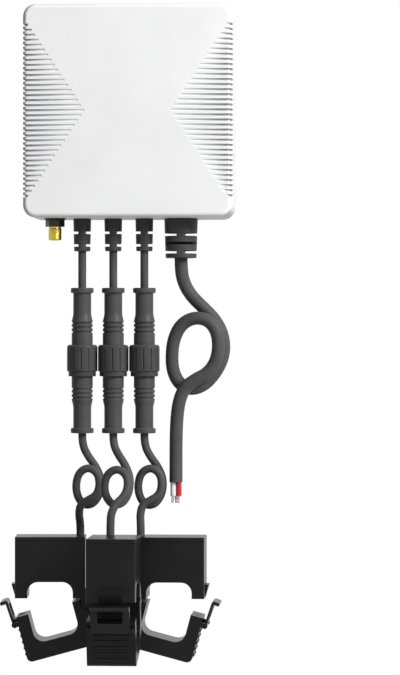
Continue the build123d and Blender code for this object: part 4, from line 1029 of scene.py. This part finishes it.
def window(low, high, rounded_z):
    """The opening's cutter, with two rounded corners at one height."""
    cutter = add_block("window", (-HALF_WINDOW, -HALF_THICK - OVERRUN, low), (HALF_WINDOW, HALF_THICK + OVERRUN, high))
    round_edges(cutter, lambda middle, along: abs(along.y) > 0.9 and abs(middle.z - rounded_z) < 0.01, WINDOW_CORNER, 8)
    return cutter


def core_slots(low, high):
    """Cutters for the two legs of a core half."""
    return [
        add_block("leg", (min(x, other), -HALF_CORE, low), (max(x, other), HALF_CORE, high))
        for x, other in ((-CORE_OUT, -CORE_IN), (CORE_IN, CORE_OUT))
    ]


print("clamps stand at", {side: tuple(round(v, 1) for v in place[:3]) for side, place in CLAMP_PLACES.items()})

# %% [markdown]
# ## The clamp's body and lid
#
# The body is a plain box with softly rounded uprights, hollow for the coil, with the upper half of the window
# cut out of its underside. Two ears carry the hinge pin, and a wedge stands out for the latch. The lid is a
# flat plate of the body's outline, laid on its top; the softened edges of both leave a parting line.

# %% Body
CLAMP_BLACK = make_finish(
    "clamp_abs", (0.005, 0.005, 0.0055), (0.008, 0.008, 0.0085), (0.27, 0.36), 14.0, 0.45, 0.010, specular=0.15
)
body = add_block("body", (-HALF_CLAMP, -HALF_THICK, 0.0), (HALF_CLAMP, HALF_THICK, BODY_HEIGHT - LID_HEIGHT))
round_edges(body, lambda middle, along: abs(along.z) > 0.9, 0.7, 4)
carve(body, add_block(
    "hollow", (-CORE_OUT, CLAMP_WALL - HALF_THICK, WINDOW_UP + CLAMP_WALL),
    (CORE_OUT, HALF_THICK - CLAMP_WALL, BODY_HEIGHT),
))
carve(body, window(-OVERRUN, WINDOW_UP, WINDOW_UP), *core_slots(-OVERRUN, WINDOW_UP + 3.0))
carve(body, cross_bar(HINGE_X, HINGE_Z, -EAR_INNER, EAR_INNER, KNUCKLE + 0.2))
for low, high in ((-HALF_THICK, -EAR_INNER), (EAR_INNER, HALF_THICK)):
    ear = cross_bar(HINGE_X, HINGE_Z, low, high, KNUCKLE)
    gusset = plate("gusset", (
        (HINGE_X - KNUCKLE, HINGE_Z), (HINGE_X - KNUCKLE, 1.0), (HALF_CLAMP, 5.0), (HINGE_X + KNUCKLE, HINGE_Z),
    ), low, high)
    carve(body, ear, gusset, operation="UNION")
carve(body, cross_bar(HINGE_X, HINGE_Z, -HALF_THICK - 1.0, HALF_THICK + 1.0, PIN))
wedge = plate("wedge", ((-15.5, 0.0), (-16.5, 0.0), (-18.35, 6.3), (-15.5, 6.3)), -5.25, 5.25)
carve(body, wedge, operation="UNION")
soften(body, 0.3, segments=3, angle=40.0)
for side in SIDES:
    piece = copy_of(body, side + "_body", PLACED[side])
    dress(piece, CLAMP_BLACK, "root", nodes=(side + "_clamp_body",))
bpy.data.objects.remove(body)

# %% Lids
lid = add_block(
    "lid", (-HALF_CLAMP, -HALF_THICK, BODY_HEIGHT - LID_HEIGHT), (HALF_CLAMP, HALF_THICK, BODY_HEIGHT)
)
round_edges(lid, lambda middle, along: abs(along.z) > 0.9, 0.7, 4)
soften(lid, 0.22, segments=3)
lids = join_all("clamp_covers", [copy_of(lid, "lid", PLACED[side]) for side in SIDES])
dress(lids, CLAMP_BLACK, "root", nodes=("clamp_lids",))
bpy.data.objects.remove(lid)

# %% Hinge pins
OXIDE = make_finish(
    "black_oxide", (0.010, 0.010, 0.011), (0.018, 0.018, 0.020), (0.34, 0.46), 2.0, 0.25, 0.004, metallic=0.6
)
pin = cross_bar(HINGE_X, HINGE_Z, -HALF_THICK, HALF_THICK, PIN)
soften(pin, 0.25, segments=3)
pins = join_all("hinge_rods", [copy_of(pin, "pin", PLACED[side]) for side in SIDES])
dress(pins, OXIDE, "root", nodes=("hinge_pins",))
bpy.data.objects.remove(pin)

# %% [markdown]
# ## The jaw
#
# The jaw is the lower half of the ring: a block with a large round at its heel and a small one at its toe, the
# deep lower half of the window, a hinge knuckle on one side and two lugs for the latch on the other. Five short
# ridges on its latch side are for the thumb.

# %% Jaw
jaw = add_block("jaw", (-HALF_CLAMP, -HALF_THICK, -JAW_HEIGHT), (HALF_CLAMP, HALF_THICK, -0.1))
round_edges(jaw, lambda middle, along: abs(along.y) > 0.9 and middle.z < -JAW_HEIGHT + 0.1 and middle.x > 0, 4.5, 8)
round_edges(jaw, lambda middle, along: abs(along.y) > 0.9 and middle.z < -JAW_HEIGHT + 0.1 and middle.x < -HALF_CLAMP + 0.1, 2.4, 6)
carve(jaw, window(-WINDOW_DOWN, OVERRUN, -WINDOW_DOWN), *core_slots(-WINDOW_DOWN - CLAMP_WALL - 3.0, OVERRUN))
clear = KNUCKLE + 0.3
for low, high in ((-HALF_THICK - 1.0, -KNUCKLE_HALF), (KNUCKLE_HALF, HALF_THICK + 1.0)):
    carve(jaw, cross_bar(HINGE_X, HINGE_Z, low, high, clear))
    carve(jaw, add_block("relief", (HINGE_X - clear, low, HINGE_Z), (HINGE_X + clear, high, 1.0)))
gusset = plate("gusset", (
    (HINGE_X + KNUCKLE, HINGE_Z), (HALF_CLAMP, HINGE_Z - 7.3), (CORE_OUT, HINGE_Z - 7.3), (CORE_OUT, HINGE_Z),
), -KNUCKLE_HALF, KNUCKLE_HALF)
knuckle = cross_bar(HINGE_X, HINGE_Z, -KNUCKLE_HALF, KNUCKLE_HALF, KNUCKLE)
carve(jaw, knuckle, gusset, operation="UNION")
carve(jaw, cross_bar(HINGE_X, HINGE_Z, -HALF_THICK, HALF_THICK, PIN + 0.05))
LUG_RADIUS, LUG_INNER, LUG_OUTER = 1.15, 9.2, 10.8
for low, high in ((-LUG_OUTER, -LUG_INNER), (LUG_INNER, LUG_OUTER)):
    lug = cross_bar(LATCH_X, PIVOT_Z, low, high, LUG_RADIUS)
    arm = add_block("arm", (LATCH_X, low, PIVOT_Z - LUG_RADIUS), (-HALF_CLAMP + 0.7, high, PIVOT_Z + LUG_RADIUS))
    carve(lug, arm, operation="UNION")
    carve(lug, cross_bar(LATCH_X, PIVOT_Z, low - 1.0, high + 1.0, 0.65))
    carve(jaw, lug, operation="UNION")
GRIP_TOPS = [-6.0 - 2.95 * number for number in range(5)]
ridges = join_all("ridges", [
    add_block("ridge", (-HALF_CLAMP - 0.6, -8.0, top - 1.1), (-HALF_CLAMP + 0.7, 8.0, top)) for top in GRIP_TOPS
])
soften(jaw, 0.22, segments=3, angle=40.0)
soften(ridges, 0.22, segments=3)
jaw = join_all("jaw", [jaw, ridges])

# %% Jaw finish and copies
JAW_BLACK = make_finish(
    "jaw_abs", (0.005, 0.005, 0.0055), (0.008, 0.008, 0.0085), (0.27, 0.36), 12.0, 0.45, 0.010, specular=0.15
)
for side in SIDES:
    piece = copy_of(jaw, side + "_jaw_shell", PLACED[side] @ JAW_OPEN)
    dress(piece, JAW_BLACK, side + "_jaw_body", nodes=(side + "_jaw",))
bpy.data.objects.remove(jaw)

# %% [markdown]
# ## The latch
#
# The latch is a thin frame that stands beside the clamp. Its window drops over the wedge and its top edge is
# bent outwards into a lip for the finger. It rocks on two small trunnions in the jaw's lugs. It is worn
# smoother than the clamp because it is handled most.

# %% Latch
LATCH_BLACK = make_finish(
    "latch_pom", (0.006, 0.006, 0.0065), (0.010, 0.010, 0.0105), (0.24, 0.36), 10.0, 0.4, 0.008, specular=0.2
)
HALF_LATCH, LATCH_HALF_THICK, LATCH_TOP, LATCH_TAIL = 9.0, 0.65, 8.7, 1.6
HOOK_REACH, HOOK_HEIGHT, HOOK_ROUND, BEND_RADIUS = 2.5, 1.7, 0.8, 1.2
WEDGE_HALF_WIDTH, WEDGE_TOP = 5.25, 6.3
LATCH_OUT, LATCH_IN = LATCH_X - LATCH_HALF_THICK, LATCH_X + LATCH_HALF_THICK
HOOK_END = LATCH_OUT - HOOK_REACH

latch = add_block("latch", (LATCH_OUT, -HALF_LATCH, PIVOT_Z - LATCH_TAIL), (LATCH_IN, HALF_LATCH, LATCH_TOP))
pick_faces(latch, lambda middle, normal: normal.x < -0.9)
bpy.ops.mesh.bisect(
    plane_co=(0.0, 0.0, (LATCH_TOP - HOOK_HEIGHT) * MM), plane_no=(0.0, 0.0, 1.0), use_fill=False
)
leave_edit()
pick_faces(latch, lambda middle, normal: normal.x < -0.9 and middle.z > LATCH_TOP - HOOK_HEIGHT)
bpy.ops.mesh.extrude_region_move(TRANSFORM_OT_translate={"value": (-HOOK_REACH * MM, 0.0, 0.0)})
leave_edit()
round_edges(
    latch, lambda middle, along: abs(along.y) > 0.9 and middle.x > LATCH_IN - 0.01 and middle.z > LATCH_TOP - 0.01,
    BEND_RADIUS, 5,
)
round_edges(latch, lambda middle, along: abs(along.y) > 0.9 and middle.x < HOOK_END + 0.01, HOOK_ROUND, 5)
round_edges(
    latch, lambda middle, along: abs(along.y) > 0.9 and middle.z < PIVOT_Z - LATCH_TAIL + 0.01, 0.6, 4
)
print("latch faces before its window:", len(latch.data.polygons))

# %% The latch's window and trunnions
opening = add_block(
    "opening", (LATCH_OUT - OVERRUN, -WEDGE_HALF_WIDTH - 0.5, 0.2), (LATCH_IN + OVERRUN, WEDGE_HALF_WIDTH + 0.5, WEDGE_TOP + 0.2)
)
round_edges(opening, lambda middle, along: abs(along.x) > 0.9, 0.5, 3)
carve(latch, opening)
carve(latch, cross_bar(LATCH_X, PIVOT_Z, -LUG_OUTER, LUG_OUTER, 0.59, sides=24), operation="UNION")
soften(latch, 0.15, segments=3, angle=40.0)
for side in SIDES:
    piece = copy_of(latch, side + "_catch", PLACED[side] @ LATCH_OPEN)
    dress(piece, LATCH_BLACK, side + "_latch_body", nodes=(side + "_latch",))
bpy.data.objects.remove(latch)

# %% [markdown]
# ## The pieces inside
#
# The board, its parts, the cores, the windings and the contacts keep their drawn shapes, because the covers
# hide them. They still get finishes of their own: a green board with a faint weave, dull ferrite, and so on.

# %% Finishes of the inner pieces
FERRITE = make_finish("ferrite", (0.040, 0.040, 0.043), (0.065, 0.065, 0.068), (0.40, 0.58), 3.0, 0.3, 0.01)
COPPER = make_finish("copper_winding", (0.42, 0.16, 0.07), (0.58, 0.25, 0.12), (0.24, 0.36), 1.2, 0.2, 0.01, metallic=1.0)
BOARD_GREEN = make_finish("board_green", (0.010, 0.080, 0.035), (0.016, 0.120, 0.050), (0.28, 0.38), 1.0, 0.2, 0.003)
TERMINAL_GREEN = make_finish("terminal_green", (0.03, 0.22, 0.08), (0.05, 0.28, 0.11), (0.36, 0.48), 4.0, 0.4, 0.01)
EPOXY = make_finish("epoxy_black", (0.015, 0.015, 0.016), (0.026, 0.026, 0.027), (0.45, 0.60), 5.0, 0.3, 0.01)
SLEEVE = make_finish("capacitor_sleeve", (0.012, 0.020, 0.060), (0.020, 0.030, 0.085), (0.22, 0.32), 5.0, 0.4, 0.004)
CAN = make_finish("shield_can", (0.55, 0.55, 0.54), (0.68, 0.68, 0.66), (0.22, 0.34), 3.0, 0.3, 0.003, metallic=1.0)
PTFE = make_finish("ptfe_white", (0.72, 0.71, 0.68), (0.80, 0.79, 0.77), (0.35, 0.48), 2.0, 0.3, 0.004)
FINISHES = {
    "white_cover": WHITE, "seal_rubber": RUBBER, "steel": STEEL, "board": BOARD_GREEN, "module_black": EPOXY,
    "capacitor_sleeve": SLEEVE, "shield_can": CAN, "terminal_green": TERMINAL_GREEN, "gold": GOLD,
    "insulator_white": PTFE, "antenna_hardware": BLACKENED, "pigtail_black": JACKET, "gland_rubber": RUBBER,
    "cable_jacket": JACKET, "connector_black": MOULDING, "nut_black": NUT_FINISH, "clamp_black": CLAMP_BLACK,
    "jaw_black": JAW_BLACK, "latch_black": LATCH_BLACK, "ferrite": FERRITE, "copper_winding": COPPER,
    "red_insulation": RED, "black_insulation": BLACK_PVC, "white_insulation": WHITE_PVC, "tinned_copper": TINNED,
}
slot_of = {part["node"]: part["material_slot"] for part in frame["record"]["subparts"]}
for name, node in frame["nodes"].items():
    node.data.materials.clear()
    node.data.materials.append(FINISHES[slot_of[name]])
print("finishes given to", len(frame["nodes"]), "drawn nodes")

# %% [markdown]
# ## Floor, light and background
#
# The picture is a product shot on pure white: one large soft light from the right and above, and a weaker fill
# from the left. The floor is a plain pale plane well below the clamps. The world is white to the camera and in
# reflections, which is what lights the upper and right faces of the black clamps. It lights the shadows evenly
# and weakly.

# %% Studio
FLOOR_DROP = 0.36
bpy.ops.object.select_all(action="DESELECT")
bpy.ops.mesh.primitive_plane_add(size=0.7, location=(0.0, -0.15, -FLOOR_DROP))
floor = bpy.context.object
floor.name = "studio_floor"
floor.data.materials.append(make_finish("paper", (0.80, 0.80, 0.80), (0.83, 0.83, 0.83), (0.6, 0.7), 60.0, 2.0, 0.01))
OBJECT_MIDDLE = Vector((0.0, -0.017, -0.10))


def soft_light(name, place, width, height, watts):
    """A rectangular area light that looks at the middle of the object."""
    bpy.ops.object.light_add(type="AREA", location=place)
    light = bpy.context.object
    light.name = name
    light.data.shape = "RECTANGLE"
    light.data.size, light.data.size_y = width, height
    light.data.energy = watts
    light.rotation_euler = (OBJECT_MIDDLE - Vector(place)).to_track_quat("-Z", "Y").to_euler()
    return light


key_light = soft_light("key", (0.93, -0.68, 0.55), 0.6, 0.6, 26.0)
fill_light = soft_light("fill", (-0.9, -1.1, 0.2), 0.7, 0.7, 0.3)
top_light = soft_light("top", (0.0, -0.35, 0.9), 0.6, 0.5, 1.2)
back_light = soft_light("back", (0.1, 1.2, 0.1), 0.5, 0.5, 8.0)
back_light.visible_camera = False
back_light.visible_glossy = False

world = bpy.data.worlds.new("white_room")
world.use_nodes = True
bpy.context.scene.world = world
nodes, links = world.node_tree.nodes, world.node_tree.links
ROOM_LIGHT = 0.08
background = nodes["Background"]
background.inputs["Color"].default_value = (1.0, 1.0, 1.0, 1.0)
paths = nodes.new("ShaderNodeLightPath")
strength = nodes.new("ShaderNodeMapRange")
strength.inputs["To Min"].default_value = ROOM_LIGHT
strength.inputs["To Max"].default_value = 1.0
seen = nodes.new("ShaderNodeMath")
seen.operation = "MAXIMUM"
links.new(paths.outputs["Is Camera Ray"], seen.inputs[0])
links.new(paths.outputs["Is Glossy Ray"], seen.inputs[1])
links.new(seen.outputs["Value"], strength.inputs["Value"])
links.new(strength.outputs["Result"], background.inputs["Strength"])
bpy.context.scene.view_settings.view_transform = "Standard"
lamps = (key_light, fill_light, top_light, back_light)
print("lights:", [(lamp.name, round(lamp.data.energy, 1)) for lamp in lamps], "W")
